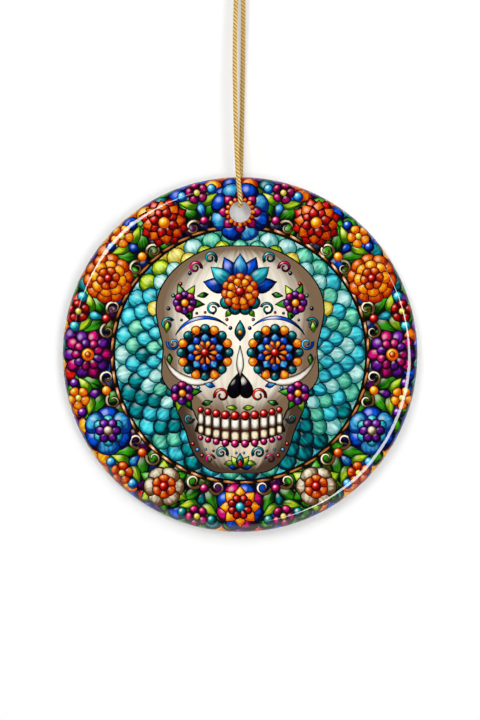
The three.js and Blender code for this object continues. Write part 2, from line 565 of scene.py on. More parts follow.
@dataclass
class Stamp:
    """A flat cell of the print, modelled once from a grid and copied wherever it is printed."""

    cell: Cell
    obj: Piece = field(init=False)

    def __post_init__(self) -> None:
        """Models the cell."""
        bare_scene()
        across = self.cell.columns + 2
        rows = len(self.cell.stations)
        bpy.ops.mesh.primitive_grid_add(x_subdivisions=across, y_subdivisions=rows - 1, size=2)
        self.obj = bpy.context.object
        self.obj.name = "stamp"
        bpy.ops.object.mode_set(mode="EDIT")
        for row in range(rows):
            self._shape_row(row, rows, across + 1)
        bpy.ops.object.mode_set(mode="OBJECT")
        self._mark(rows, across)

    def _select(self, first: int, last: int) -> None:
        """Selects the vertices from first up to, but without, last."""
        mesh = bmesh.from_edit_mesh(self.obj.data)
        mesh.verts.ensure_lookup_table()
        for index, vert in enumerate(mesh.verts):
            vert.select = first <= index < last
        mesh.select_flush_mode()
        bmesh.update_edit_mesh(self.obj.data, loop_triangles=False, destructive=False)

    def _shape_row(self, row: int, rows: int, count: int) -> None:
        """Gives one row its width, its line, its turn and its place.

        Args:
            row: The row's number from the root.
            rows: How many rows there are.
            count: How many vertices a row has.
        """
        station = self.cell.stations[row]
        after = self.cell.stations[min(row + 1, rows - 1)]
        before = self.cell.stations[max(row - 1, 0)]
        run = max(math.dist((after.x, after.y), (before.x, before.y)), 1e-6)
        slope = (after.half - before.half) / run
        line = self.cell.line * math.sqrt(1 + slope * slope)
        inner = max(station.half - line, station.half * 0.25)
        height = -1 + 2 * row / (rows - 1)
        about = {"center_override": (0.0, height, 0.0)}
        first = row * count
        self._select(first, first + count)
        bpy.ops.transform.resize(value=(station.half * MM, 1, 1), **about)
        share = 1 - 2 / (count - 1)
        self._select(first + 1, first + count - 1)
        bpy.ops.transform.resize(value=(inner / (station.half * share), 1, 1), **about)
        self._select(first, first + count)
        if station.turn:
            bpy.ops.transform.rotate(value=-math.radians(station.turn), orient_axis="Z", **about)
        bpy.ops.transform.translate(value=(station.x * MM, station.y * MM - height, 0))

    def _mark(self, rows: int, across: int) -> None:
        """Marks the faces of the line and maps the inside from 0 to 1 both ways.

        Args:
            rows: How many rows of vertices there are.
            across: How many faces a row has.
        """
        mesh = self.obj.data
        ends = int(self.cell.lined_ends)
        marks = np.zeros((rows - 1, across), np.float32)
        marks[:, [0, -1]] = 1
        if ends:
            marks[[0, -1], :] = 1
        line = mesh.attributes.new("ink_line", "FLOAT", "FACE")
        line.data.foreach_set("value", marks.ravel())
        corners = point_values(mesh.loops, "vertex_index", 0)
        spots = np.empty((len(corners), 2), np.float32)
        spots[:, 0] = (corners % (across + 1) - 1) / (across - 2)
        spots[:, 1] = (corners // (across + 1) - ends) / max(rows - 1 - 2 * ends, 1)
        mesh.uv_layers[0].data.foreach_set("uv", spots.clip(0, 1).ravel())


def point_values(items: bpy.types.bpy_prop_collection, name: str, width: int) -> np.ndarray:
    """Reads one value of all of a mesh's items.

    Args:
        items: The items, such as the mesh's vertices.
        name: The value's name.
        width: How many numbers it has, or 0 where it is a single whole number.

    Returns:
        The values, one row to an item.
    """
    found = np.empty(len(items) * max(width, 1), np.float32 if width else np.int32)
    items.foreach_get(name, found)
    return found.reshape(-1, width).astype(float) if width else found


@dataclass(frozen=True)
class DiscForm:
    """The disc's form, in millimetres, as the CAD model has it, and where its faces lie."""

    radius: float = 35.0
    thickness: float = 3.0
    front_reach: float = 2.0
    front_depth: float = 1.4
    back_reach: float = 1.3
    back_depth: float = 1.1
    coat: float = 0.25
    bond: float = 0.03
    hole_radius: float = 2.0
    hole_lip: float = 0.5
    hole_height: float = 28.1
    segments: int = 256
    hole_segments: int = 64
    lip_steps: int = 6

    @cached_property
    def centre(self) -> Vector:
        """The disc's centre in the row frame, in metres."""
        low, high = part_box("ceramic_disc")
        return Vector((0, 0, (low.z + high.z) / 2))

    @property
    def front(self) -> float:
        """Where the flat front lies along Y, in millimetres."""
        return -self.thickness / 2

    @property
    def flare(self) -> float:
        """The radius at which the hole's round lip starts, in millimetres."""
        return self.hole_radius + self.hole_lip

    def edge(self, inset: float) -> list[Pair]:
        """Gives the front's round edge.

        Args:
            inset: How far inside the surface it lies, in millimetres.

        Returns:
            Points as radius and depth along Y, from the flat out to the side.
        """
        reach, depth = self.front_reach - inset, self.front_depth - inset
        corner = (self.radius - self.front_reach, self.front + self.front_depth)
        return [
            (corner[0] + reach * math.sin(angle), corner[1] - depth * math.cos(angle))
            for angle in quarter_turn()
        ]

    @cached_property
    def edge_turns(self) -> tuple[np.ndarray, np.ndarray]:
        """The round edge's angles, and how far along the glaze each lies, in millimetres."""
        turns = np.linspace(0, math.pi / 2, 300)
        steps = np.hypot(
            self.front_reach * np.diff(np.sin(turns)), self.front_depth * np.diff(np.cos(turns))
        )
        return turns, np.concatenate([[0], np.cumsum(steps)])

    @property
    def glaze_end(self) -> float:
        """How far from its middle the front's glaze reaches, along the glaze, in millimetres."""
        return self.radius - self.front_reach + float(self.edge_turns[1][-1])

    def wrapped(self, flat: np.ndarray, lift: np.ndarray) -> tuple[np.ndarray, np.ndarray]:
        """Lays flat points on the front and down over its round edge.

        Args:
            flat: Points right of and above the disc's centre, in millimetres along the glaze.
            lift: How far each lies off the glaze, in millimetres.

        Returns:
            The points about the disc's centre in millimetres, and the glaze's normals there.
        """
        far = np.maximum(np.hypot(*flat.T), 1e-9)
        corner = self.radius - self.front_reach
        turns, run = self.edge_turns
        angle = np.interp(far - corner, run, turns)
        out = np.where(far < corner, far, corner + self.front_reach * np.sin(angle))
        depth = self.front + self.front_depth * (1 - np.cos(angle))
        slope = np.stack([np.sin(angle) / self.front_reach, -np.cos(angle) / self.front_depth])
        slope /= np.hypot(*slope)
        way = flat / far[:, None]
        spots = np.stack([way[:, 0] * out, depth, way[:, 1] * out], 1)
        normals = np.stack([way[:, 0] * slope[0], slope[1], way[:, 1] * slope[0]], 1)
        self.lipped(spots)
        return spots + normals * lift[:, None], normals

    def lipped(self, spots: np.ndarray) -> None:
        """Moves the points at the hanging hole down over its round lip."""
        off = spots[:, [0, 2]] - np.array((0.0, self.hole_height))
        far = np.maximum(np.hypot(*off.T), 1e-9)
        near = far < self.flare
        angle = (self.flare - far[near]) / self.hole_lip
        way = off[near] / far[near, None]
        reach = self.flare - self.hole_lip * np.sin(angle)
        spots[near, 0] = way[:, 0] * reach
        spots[near, 2] = way[:, 1] * reach + self.hole_height
        spots[near, 1] += self.hole_lip * (1 - np.cos(angle))

    @property
    def lip_end(self) -> float:
        """How near the hole's middle the print reaches, in millimetres along the glaze."""
        down = math.acos(1 - 0.9 * self.coat / self.hole_lip)
        return self.hole_radius + self.hole_lip * (1 - down)


def quarter_turn(steps: int = 10) -> Iterator[float]:
    """Gives the angles of a quarter turn, in radians."""
    for step in range(steps + 1):
        yield math.pi / 2 * step / steps


def polar(radius: float, bearing: float, at: Pair = (0.0, 0.0)) -> Pair:
    """Gives a place by its bearing from the top, to the left as seen from the front.

    Args:
        radius: How far it lies from the middle.
        bearing: Its bearing in degrees.
        at: The middle.

    Returns:
        The place.
    """
    angle = math.radians(bearing)
    return (at[0] - radius * math.sin(angle), at[1] + radius * math.cos(angle))


def round_the_clock(count: int, start: float = 0.0) -> Iterator[float]:
    """Gives bearings that share a full turn alike."""
    for step in range(count):
        yield start + FULL_TURN * step / count


FORM = DiscForm()


@dataclass
class Pressing:
    """What every part of the print is pressed with: the stamps and the dice."""

    dice: random.Random = field(default_factory=lambda: random.Random(11))
    stamps: dict[Cell, Stamp] = field(default_factory=dict)

    def stamp(self, cell: Cell) -> Stamp:
        """Gives the stamp of a cell, which is modelled when it is first asked for."""
        if cell not in self.stamps:
            self.stamps[cell] = Stamp(cell)
        return self.stamps[cell]

    def pictures(self, **manners: PrintedInk) -> list["Picture"]:
        """Starts printed pieces, each by its name and its manner."""
        return [Picture(name, manner, self) for name, manner in manners.items()]

    def clear(self) -> None:
        """Removes the stamps themselves, once their copies are joined."""
        for stamp in self.stamps.values():
            bpy.data.objects.remove(stamp.obj)
        self.stamps.clear()


@dataclass
class Picture:
    """One printed piece: copies of stamps, laid on the coat and joined into one object.

    The copies are laid flat, a millimetre apart for each film under them, and are bent over the
    coat's round edge once they are one mesh.
    """

    name: str
    manner: PrintedInk
    press: Pressing
    layer_step: float = 0.006
    film: float = 0.012
    clear: float = 0.06
    fine_from: float = 32.6
    map_gap: float = 0.25
    copies: list[tuple[Piece, np.ndarray]] = field(default_factory=list)

    def lay(
        self, cell: Cell, at: Pair, turn: float, ink: Ink, layer: float, mirrored: bool = False
    ) -> None:
        """Prints one cell.

        Args:
            cell: The cell.
            at: Where its root lies right of and above the disc's centre, in millimetres.
            turn: Its turn from upright in degrees, to the left as seen from the front.
            ink: Its colour.
            layer: How many films lie under it.
            mirrored: Whether its left and right change places.
        """
        mesh = self.press.stamp(cell).obj.data.copy()
        local = point_values(mesh.vertices, "co", 3)[:, :2] / MM
        if mirrored:
            local[:, 0] *= -1
            mesh.flip_normals()
        cos, sin = math.cos(math.radians(turn)), math.sin(math.radians(turn))
        flat = local @ np.array([[cos, sin], [-sin, cos]])
        heart = np.full((len(flat), 3), self.press.dice.random())
        heart[:, [0, 2]] = (flat - (flat.min(0) + flat.max(0)) / 2) / (np.ptp(flat, axis=0).max() / 2)
        attribute = mesh.attributes.new("heart", "FLOAT_VECTOR", "POINT")
        attribute.data.foreach_set("vector", heart.ravel())
        for name, tone in zip(("ink_deep", "ink_light"), ink.value):
            colour = mesh.attributes.new(name, "FLOAT_COLOR", "POINT")
            colour.data.foreach_set("color", np.tile(linear(tone), len(flat)))
        spots = np.stack([flat[:, 0] + at[0], np.full(len(flat), layer), flat[:, 1] + at[1]], 1)
        mesh.vertices.foreach_set("co", (spots * MM).ravel())
        mesh.update()
        copy = bpy.data.objects.new(self.name, mesh)
        bpy.context.scene.collection.objects.link(copy)
        self.copies.append((copy, local))

    def ring(
        self,
        cell: Cell,
        at: Pair,
        radius: float,
        count: int,
        inks: tuple[Ink, ...],
        layer: int,
        start: float = 0.0,
    ) -> None:
        """Prints cells in a ring, each with its root on the ring and its tip outwards.

        Neighbours overlap, so they lie on films of their own.

        Args:
            cell: The cell.
            at: The ring's centre on the disc, in millimetres.
            radius: The ring's radius in millimetres.
            count: How many cells it has.
            inks: Their colours, in turn.
            layer: How many films lie under them.
            start: The bearing of the first cell.
        """
        for step, bearing in enumerate(round_the_clock(count, start)):
            film = layer + (step % 2) / 2 + (step == count - 1) * (count % 2) / 4
            self.lay(cell, polar(radius, bearing, at), bearing, inks[step % len(inks)], film)

    def bead(self, at: Pair, radius: float, ink: Ink, layer: float) -> None:
        """Prints a round bead about its centre."""
        cell = straight(Outline.BEAD, 2 * radius, radius, rows=6)
        self.lay(cell, (at[0], at[1] - radius), 0, ink, layer)

    def join(self) -> None:
        """Joins the copies, bends them over the edge and gives them their film and their ink."""
        self._spread_on_one_map()
        piece, *others = [copy for copy, _ in self.copies]
        join_into(piece, others)
        piece.name = self.name
        piece.data.materials.append(self.manner.material())
        self._trim(piece)
        normals = self._bend(piece.data)
        apply_modifier(piece, "SOLIDIFY", thickness=self.film * MM, offset=-1.0)
        piece.data.shade_smooth()
        both_faces = np.concatenate([normals, -normals])
        piece.data.normals_split_custom_set_from_vertices(both_faces.tolist())
        stand_for(piece, "print_coat", "ornament")
        LOG.info("printed %s: %d cells, %d faces", self.name, len(self.copies), len(piece.data.polygons))

    def _spread_on_one_map(self) -> None:
        """Gives each copy its own place on one map, shelf by shelf, all at one scale."""
        sizes = [np.ptp(local, axis=0) + self.map_gap for _, local in self.copies]
        width = 1.06 * math.sqrt(sum(wide * high for wide, high in sizes))
        corners = {}
        across = above = shelf = 0.0
        for index in sorted(range(len(sizes)), key=lambda i: -sizes[i][1]):
            wide, high = sizes[index]
            if across + wide > width:
                across, above, shelf = 0.0, above + shelf, 0.0
            corners[index] = np.array((across, above))
            across, shelf = across + wide, max(shelf, high)
        side = max(width, above + shelf)
        for index, (copy, local) in enumerate(self.copies):
            mesh = copy.data
            spots = (local - local.min(0) + corners[index] + self.map_gap / 2) / side
            layer = mesh.uv_layers.new(name="OFBake", do_init=False)
            layer.uv.foreach_set("vector", spots[point_values(mesh.loops, "vertex_index", 0)].ravel())
            mesh.uv_layers.active = mesh.uv_layers["UVMap"]

    @property
    def last(self) -> float:
        """How far from the disc's middle the print reaches, in millimetres along the glaze."""
        return FORM.glaze_end - self.clear

    def _trim(self, piece: Piece) -> None:
        """Divides the faces at the round edge, and takes off what lies past it or in the hole."""
        made_active(piece)
        bpy.ops.object.mode_set(mode="EDIT")
        if chosen(piece, lambda far, off: max(far) > self.fine_from or min(off) < FORM.flare):
            bpy.ops.mesh.subdivide(number_cuts=1)
        if chosen(piece, lambda far, off: min(far) > self.last or max(off) < FORM.lip_end):
            bpy.ops.mesh.delete(type="FACE")
        bpy.ops.object.mode_set(mode="OBJECT")

    def _bend(self, mesh: bpy.types.Mesh) -> np.ndarray:
        """Moves the flat mesh's points onto the glaze.

        Args:
            mesh: The joined and trimmed mesh.

        Returns:
            The glaze's normals at its points.
        """
        spots = point_values(mesh.vertices, "co", 3) / MM
        hole = np.array((0.0, FORM.hole_height))
        flat = hole + scaled_to(spots[:, [0, 2]] - hole, lambda far: np.maximum(far, FORM.lip_end))
        flat = scaled_to(flat, lambda far: np.minimum(far, self.last))
        placed, normals = FORM.wrapped(flat, spots[:, 1] * self.layer_step)
        mesh.vertices.foreach_set("co", (placed * MM + np.array(FORM.centre)).ravel())
        mesh.update()
        return normals


def chosen(piece: Piece, wanted: Callable[[list[float], list[float]], bool]) -> bool:
    """Selects faces of the flat print in edit mode.

    Args:
        piece: The print.
        wanted: Says if a face is, by how far its points lie from the disc's middle, and how far
            from the hole's, in millimetres.

    Returns:
        Whether there are any.
    """
    mesh = bmesh.from_edit_mesh(piece.data)
    for face in mesh.faces:
        spots = [(v.co.x / MM, v.co.z / MM) for v in face.verts]
        far = [math.hypot(x, z) for x, z in spots]
        off = [math.hypot(x, z - FORM.hole_height) for x, z in spots]
        face.select = wanted(far, off)
    bmesh.update_edit_mesh(piece.data)
    return any(face.select for face in mesh.faces)


def scaled_to(flat: np.ndarray, wanted: Callable[[np.ndarray], np.ndarray]) -> np.ndarray:
    """Moves points straight from or to the origin, to wanted distances.

    Args:
        flat: The points.
        wanted: Gives the new distances for the old.

    Returns:
        The points, moved.
    """
    far = np.maximum(np.hypot(*flat.T), 1e-9)
    return flat * (wanted(far) / far)[:, None]


@dataclass(frozen=True)
class ScaleRows:
    """Rows of overlapping scales round the disc, from the outermost in, in millimetres."""

    outer: float
    step: float
    rows: int
    count: int
    length: float
    shoulder: float
    overlap: float = 1.02

    def lay(self, picture: Picture, ink: Callable[[int, float], Ink]) -> None:
        """Prints the rows.

        Args:
            picture: The piece that they belong to.
            ink: Gives a scale's colour for its row and its bearing.
        """
        for row in range(self.rows):
            tip = self.outer - row * self.step
            half = math.pi * (tip - self.length * self.shoulder) / self.count * self.overlap
            cell = straight(Outline.SCALE, self.length, half, 0.17, rows=5, columns=3)
            for bearing in round_the_clock(self.count, FULL_TURN / self.count / 2 * (row % 2)):
                root = polar(tip - self.length, bearing)
                picture.lay(cell, root, bearing, ink(row, bearing), 1 + row)


@dataclass
class ScaleHalo:
    """The round halo behind the skull: rows of overlapping glass scales inside a bronze ring."""

    press: Pressing
    scales: ScaleRows = ScaleRows(26.9, 2.05, 8, 38, 3.9, 0.38)
    ring_radius: float = 25.2
    ring_half: float = 0.42
    ring_segments: int = 48
    ring_layer: int = 9
    inks: tuple[tuple[float, tuple[Ink, ...]], ...] = (
        (0.7, (Ink.STRAW, Ink.MINT, Ink.LIME, Ink.FOAM)),
        (0.0, (Ink.AQUA, Ink.FOAM, Ink.MINT, Ink.AQUA)),
        (-0.6, (Ink.AQUA, Ink.TEAL, Ink.MINT, Ink.FOAM)),
        (-math.inf, (Ink.TEAL, Ink.MINT, Ink.TEAL, Ink.AQUA)),
    )

    def ink(self, bearing: float) -> Ink:
        """Chooses a scale's colour, light and warm at the top and deep at the bottom."""
        height = math.cos(math.radians(bearing)) + self.press.dice.uniform(-0.25, 0.25)
        inks = next(inks for least, inks in self.inks if height > least)
        return self.press.dice.choice(inks)

    def build(self) -> None:
        """Prints the halo."""
        scales, ring = self.press.pictures(halo_scales=GLASS_MANNER, bronze_ring=BEAD_MANNER)
        self.scales.lay(scales, lambda _, bearing: self.ink(bearing))
        length = 2 * math.pi * self.ring_radius / self.ring_segments
        rows = tuple(Station(0, length * share, self.ring_half) for share in (-0.05, 0.5, 1.0))
        for bearing in round_the_clock(self.ring_segments):
            at = polar(self.ring_radius, bearing)
            ring.lay(Cell(rows, 0.15), at, bearing + 90, Ink.BRONZE, self.ring_layer)
        for picture in (scales, ring):
            picture.join()


def turned(name: str, profile: list[Pair], segments: int, centre: Vector) -> Piece:
    """Turns a profile about an axis along Y, as on a lathe.

    Args:
        name: The piece's name.
        profile: Points as radius and depth along Y, in millimetres, from axis to axis.
        segments: How many steps the full turn has.
        centre: A point on the axis in metres.

    Returns:
        The turned solid.
    """
    bare_scene()
    bpy.ops.mesh.primitive_circle_add(vertices=len(profile), radius=1)
    piece = bpy.context.object
    piece.name = name
    for vert, (radius, depth) in zip(piece.data.vertices, profile):
        vert.co = Vector((radius * MM, depth * MM, 0)) + centre
    bpy.ops.object.mode_set(mode="EDIT")
    mesh = bmesh.from_edit_mesh(piece.data)
    mesh.verts.ensure_lookup_table()
    mesh.edges.remove(mesh.edges.get((mesh.verts[0], mesh.verts[-1])))
    bmesh.update_edit_mesh(piece.data)
    bpy.ops.mesh.select_all(action="SELECT")
    bpy.ops.mesh.spin(
        steps=segments, angle=2 * math.pi, center=centre, axis=(0, 1, 0), use_auto_merge=False
    )
    bpy.ops.mesh.select_all(action="SELECT")
    bpy.ops.mesh.remove_doubles(threshold=1e-7)
    bpy.ops.mesh.normals_make_consistent(inside=False)
    bpy.ops.object.mode_set(mode="OBJECT")
    return piece


def drill(piece: Piece) -> None:
    """Cuts the hanging hole with its round lips."""
    start = FORM.front - 1
    profile = [(0.0, start), (FORM.flare, start)]
    for angle in quarter_turn(FORM.lip_steps):
        drop = FORM.hole_lip * (1 - math.cos(angle))
        profile.append((FORM.flare - FORM.hole_lip * math.sin(angle), FORM.front + drop))
    profile += [(radius, -depth) for radius, depth in reversed(profile)]
    hole = FORM.centre + Vector((0, 0, FORM.hole_height * MM))
    cutter = turned("hole_cutter", profile, FORM.hole_segments, hole)
    apply_modifier(piece, "BOOLEAN", operation="DIFFERENCE", solver="EXACT", object=cutter)
    bpy.data.objects.remove(cutter)
    made_active(piece)
    bpy.ops.object.shade_smooth_by_angle(angle=math.radians(40))
    apply_modifier(piece, "WEIGHTED_NORMAL", mode="FACE_AREA", keep_sharp=True, weight=90)


def disc_part(name: str, profile: list[Pair], material: Material, node: str) -> None:
    """Turns a part of the disc, drills it for the cord and dresses it.

    Args:
        name: Its name.
        profile: Its outline, as radius and depth along Y in millimetres.
        material: Its finish.
        node: The CAD node that it stands for.
    """
    piece = turned(name, profile, FORM.segments, FORM.centre)
    drill(piece)
    piece.data.materials.append(material)
    stand_for(piece, node, "ornament")
    LOG.info("modelled %s: %d faces", name, len(piece.data.polygons))


@dataclass(frozen=True)
class GlazedCoat:
    """The clear gloss coat with its dark printed ground, over the front and its round edge."""

    deep_ink: Colour = (0.01, 0.01, 0.015)
    pale_ink: Colour = (0.09, 0.08, 0.10)

    def build(self) -> None:
        """Models the coat and dresses it."""
        inside = [*FORM.edge(FORM.coat)[::-1], (0.0, FORM.front + FORM.coat)]
        profile = [(0.0, FORM.front), *FORM.edge(0.0), *inside]
        disc_part("glazed_coat", profile, self.material(), "print_coat")

    def material(self) -> Material:
        """Makes the printed ground of uneven ink black, under the clear gloss."""
        canvas = Canvas(bpy.data.materials.new("printed_ground"))
        mottle = canvas.noise(canvas.place(), 900.0, 3.0)
        return canvas.clear_gloss(canvas.mixed(mottle, linear(self.deep_ink), linear(self.pale_ink)))


@dataclass(frozen=True)
class PorcelainDisc:
    """The fired porcelain body with its plain white back."""

    glaze: tuple[Colour, Colour] = ((0.86, 0.85, 0.82), (0.93, 0.925, 0.91))
    pit_shade: Colour = (0.74, 0.71, 0.66)
    wave_depth: float = 0.05

    def build(self) -> None:
        """Models the body, from the axis at its front to the axis at its back, and dresses it."""
        set_back = FORM.coat + FORM.bond
        ledge = FORM.front + FORM.front_depth + FORM.bond
        profile = [(0.0, FORM.front + set_back), *FORM.edge(set_back)]
        profile += [(FORM.radius - set_back, ledge), (FORM.radius, ledge)]
        for angle in quarter_turn():
            radius = FORM.radius - FORM.back_reach * (1 - math.cos(angle))
            profile.append((radius, -FORM.front - FORM.back_depth * (1 - math.sin(angle))))
        profile.append((0.0, -FORM.front))
        disc_part("porcelain_disc", profile, self.material(), "ceramic_disc")

    def material(self) -> Material:
        """Makes the white glaze, with faint waves and a few pinholes, which are painted darker as
        painted shade.
        """
        canvas = Canvas(bpy.data.materials.new("white_glaze"))
        place = canvas.place()
        cloud = canvas.noise(place, 90.0, 4.0)
        pits = canvas.eased(canvas.noise(place, 1500.0, 1.0), 0.74, 0.8)
        colour = canvas.mixed(cloud, *(linear(tone) for tone in self.glaze))
        # The pinholes get a darker grey: painted shade in the pits.
        colour = canvas.mixed(pits, colour, linear(self.pit_shade))
        height = canvas.sum("MULTIPLY_ADD", pits, -0.6, canvas.noise(place, 260.0, 2.0))
        normal = canvas.bump(height, self.wave_depth * MM, 0.35)
        return canvas.gloss(colour, 0.22, Coat_Weight=0.6, Coat_Roughness=0.06, Normal=normal)


@dataclass(frozen=True)
class PetalRing:
    """One ring of a blossom's petals: their form, their roots' radius, their number and turn."""

    outline: Outline
    length: float
    half: float
    line: float
    root: float
    count: int
    turn: float
    inks: tuple[Ink, ...]
    rows: int = 8
    columns: int = 4

    @property
    def cell(self) -> Cell:
        """The petal."""
        return straight(self.outline, self.length, self.half, self.line, self.rows, self.columns)


@dataclass(frozen=True)
class Blossom:
    """A blossom: its first film, its rings of petals from the outermost in, and its eye's beads."""

    layer: int
    rings: tuple[PetalRing, ...]
    eye: tuple[tuple[float, Ink], ...] = ()

    def lay(self, petals: Picture, beads: Picture, at: Pair, bearing: float = 0.0) -> None:
        """Prints the blossom.

        Args:
            petals: The piece that its petals belong to.
            beads: The piece that its beads belong to.
            at: Where its middle is.
            bearing: How far it is turned.
        """
        for film, ring in enumerate(self.rings, self.layer):
            petals.ring(ring.cell, at, ring.root, ring.count, ring.inks, film, bearing + ring.turn)
        for film, (radius, ink) in enumerate(self.eye, self.layer + len(self.rings)):
            beads.bead(at, radius, ink, film)


DAHLIA = Blossom(
    11,
    (
        PetalRing(Outline.POINTED_PETAL, 4.0, 1.65, 0.2, 1.1, 8, 0, (Ink.SCARLET,)),
        PetalRing(Outline.POINTED_PETAL, 4.0, 1.65, 0.2, 0.5, 8, 22.5, (Ink.ORANGE,)),
        PetalRing(Outline.POINTED_PETAL, 2.7, 1.15, 0.18, 0.5, 8, 0, (Ink.SCARLET,)),
    ),
    ((1.2, Ink.SUN),),
)
MARIGOLD = Blossom(
    11,
    (
        PetalRing(Outline.ROUND_PETAL, 3.0, 1.6, 0.18, 2.0, 10, 0, (Ink.ORANGE,)),
        PetalRing(Outline.ROUND_PETAL, 2.6, 1.3, 0.18, 1.1, 8, 20, (Ink.SUN,)),
        PetalRing(Outline.ROUND_PETAL, 1.9, 1.0, 0.18, 0.5, 6, 40, (Ink.ORANGE,)),
    ),
    ((0.9, Ink.SCARLET),),
)
ASTER = Blossom(
    12,
    (
        PetalRing(Outline.DROP, 4.2, 1.3, 0.18, 0.8, 10, 0, (Ink.VIOLET, Ink.ROSE)),
        PetalRing(Outline.DROP, 2.6, 0.95, 0.16, 0.7, 9, 0, (Ink.ROSE, Ink.VIOLET, Ink.ROSE)),
    ),
    ((1.3, Ink.SUN), (0.65, Ink.ORANGE)),
)
PANSY = Blossom(
    12,
    (
        PetalRing(Outline.ROUND_PETAL, 4.3, 2.4, 0.22, 0.6, 6, 0, (Ink.COBALT, Ink.SKY), 8, 6),
        PetalRing(Outline.DROP, 2.6, 1.0, 0.17, 0.6, 6, 0, (Ink.AQUA,)),
        PetalRing(Outline.DROP, 2.6, 1.0, 0.17, 0.0, 6, 30, (Ink.VIOLET,)),
    ),
    ((1.0, Ink.CREAM),),
)
ROSETTE = Blossom(
    11,
    (
        PetalRing(Outline.LEAF, 3.8, 1.5, 0.2, 1.6, 6, 30, (Ink.LEAF, Ink.LIME)),
        PetalRing(Outline.ROUND_PETAL, 3.5, 1.95, 0.2, 0.6, 6, 0, (Ink.CREAM,), 8, 6),
        PetalRing(Outline.ROUND_PETAL, 2.0, 1.15, 0.17, 0.5, 6, 30, (Ink.ORANGE,)),
    ),
    ((1.0, Ink.SCARLET),),
)
SUNBURST = Blossom(
    12,
    (
        PetalRing(Outline.ROUND_PETAL, 3.7, 1.9, 0.2, 1.2, 8, 22.5, (Ink.ROSE, Ink.COBALT), 8, 6),
        PetalRing(Outline.POINTED_PETAL, 3.2, 1.3, 0.18, 0.9, 8, 0, (Ink.SUN,)),
        PetalRing(Outline.DROP, 2.1, 0.8, 0.16, 0.5, 8, 22.5, (Ink.SCARLET,)),
    ),
    ((0.95, Ink.AQUA),),
)
CLEAR = FORM.lip_end + 0.1
HOLE_BLOSSOM = Blossom(
    12,
    (
        PetalRing(Outline.ROUND_PETAL, 3.9, 2.1, 0.2, CLEAR, 8, 22.5, (Ink.SKY, Ink.COBALT), 12, 6),
        PetalRing(Outline.POINTED_PETAL, 2.3, 1.15, 0.18, CLEAR, 8, 0, (Ink.ROSE,), 9),
        PetalRing(Outline.SCALE, 1.25, 0.5, 0.12, CLEAR - 0.3, 16, 0, (Ink.SUN, Ink.ORANGE), 7, 3),
    ),
)
CHEEK_BLOSSOM = Blossom(
    13,
    (PetalRing(Outline.ROUND_PETAL, 1.9, 1.0, 0.14, 0.5, 6, 0, (Ink.ROSE, Ink.VIOLET)),),
    ((0.75, Ink.SUN),),
)
TEMPLE_BLOSSOM = Blossom(
    12,
    (PetalRing(Outline.ROUND_PETAL, 1.8, 0.9, 0.14, 0.6, 8, 0, (Ink.VIOLET, Ink.ROSE)),),
    ((0.8, Ink.SUN),),
)
FOREHEAD_BLOSSOM = Blossom(
    13,
    (
        PetalRing(Outline.ROUND_PETAL, 1.9, 1.0, 0.15, 1.9, 11, 0, (Ink.ORANGE,)),
        PetalRing(Outline.ROUND_PETAL, 1.8, 0.85, 0.15, 1.0, 8, 16, (Ink.SUN,)),
    ),
    ((1.0, Ink.SCARLET),),
)


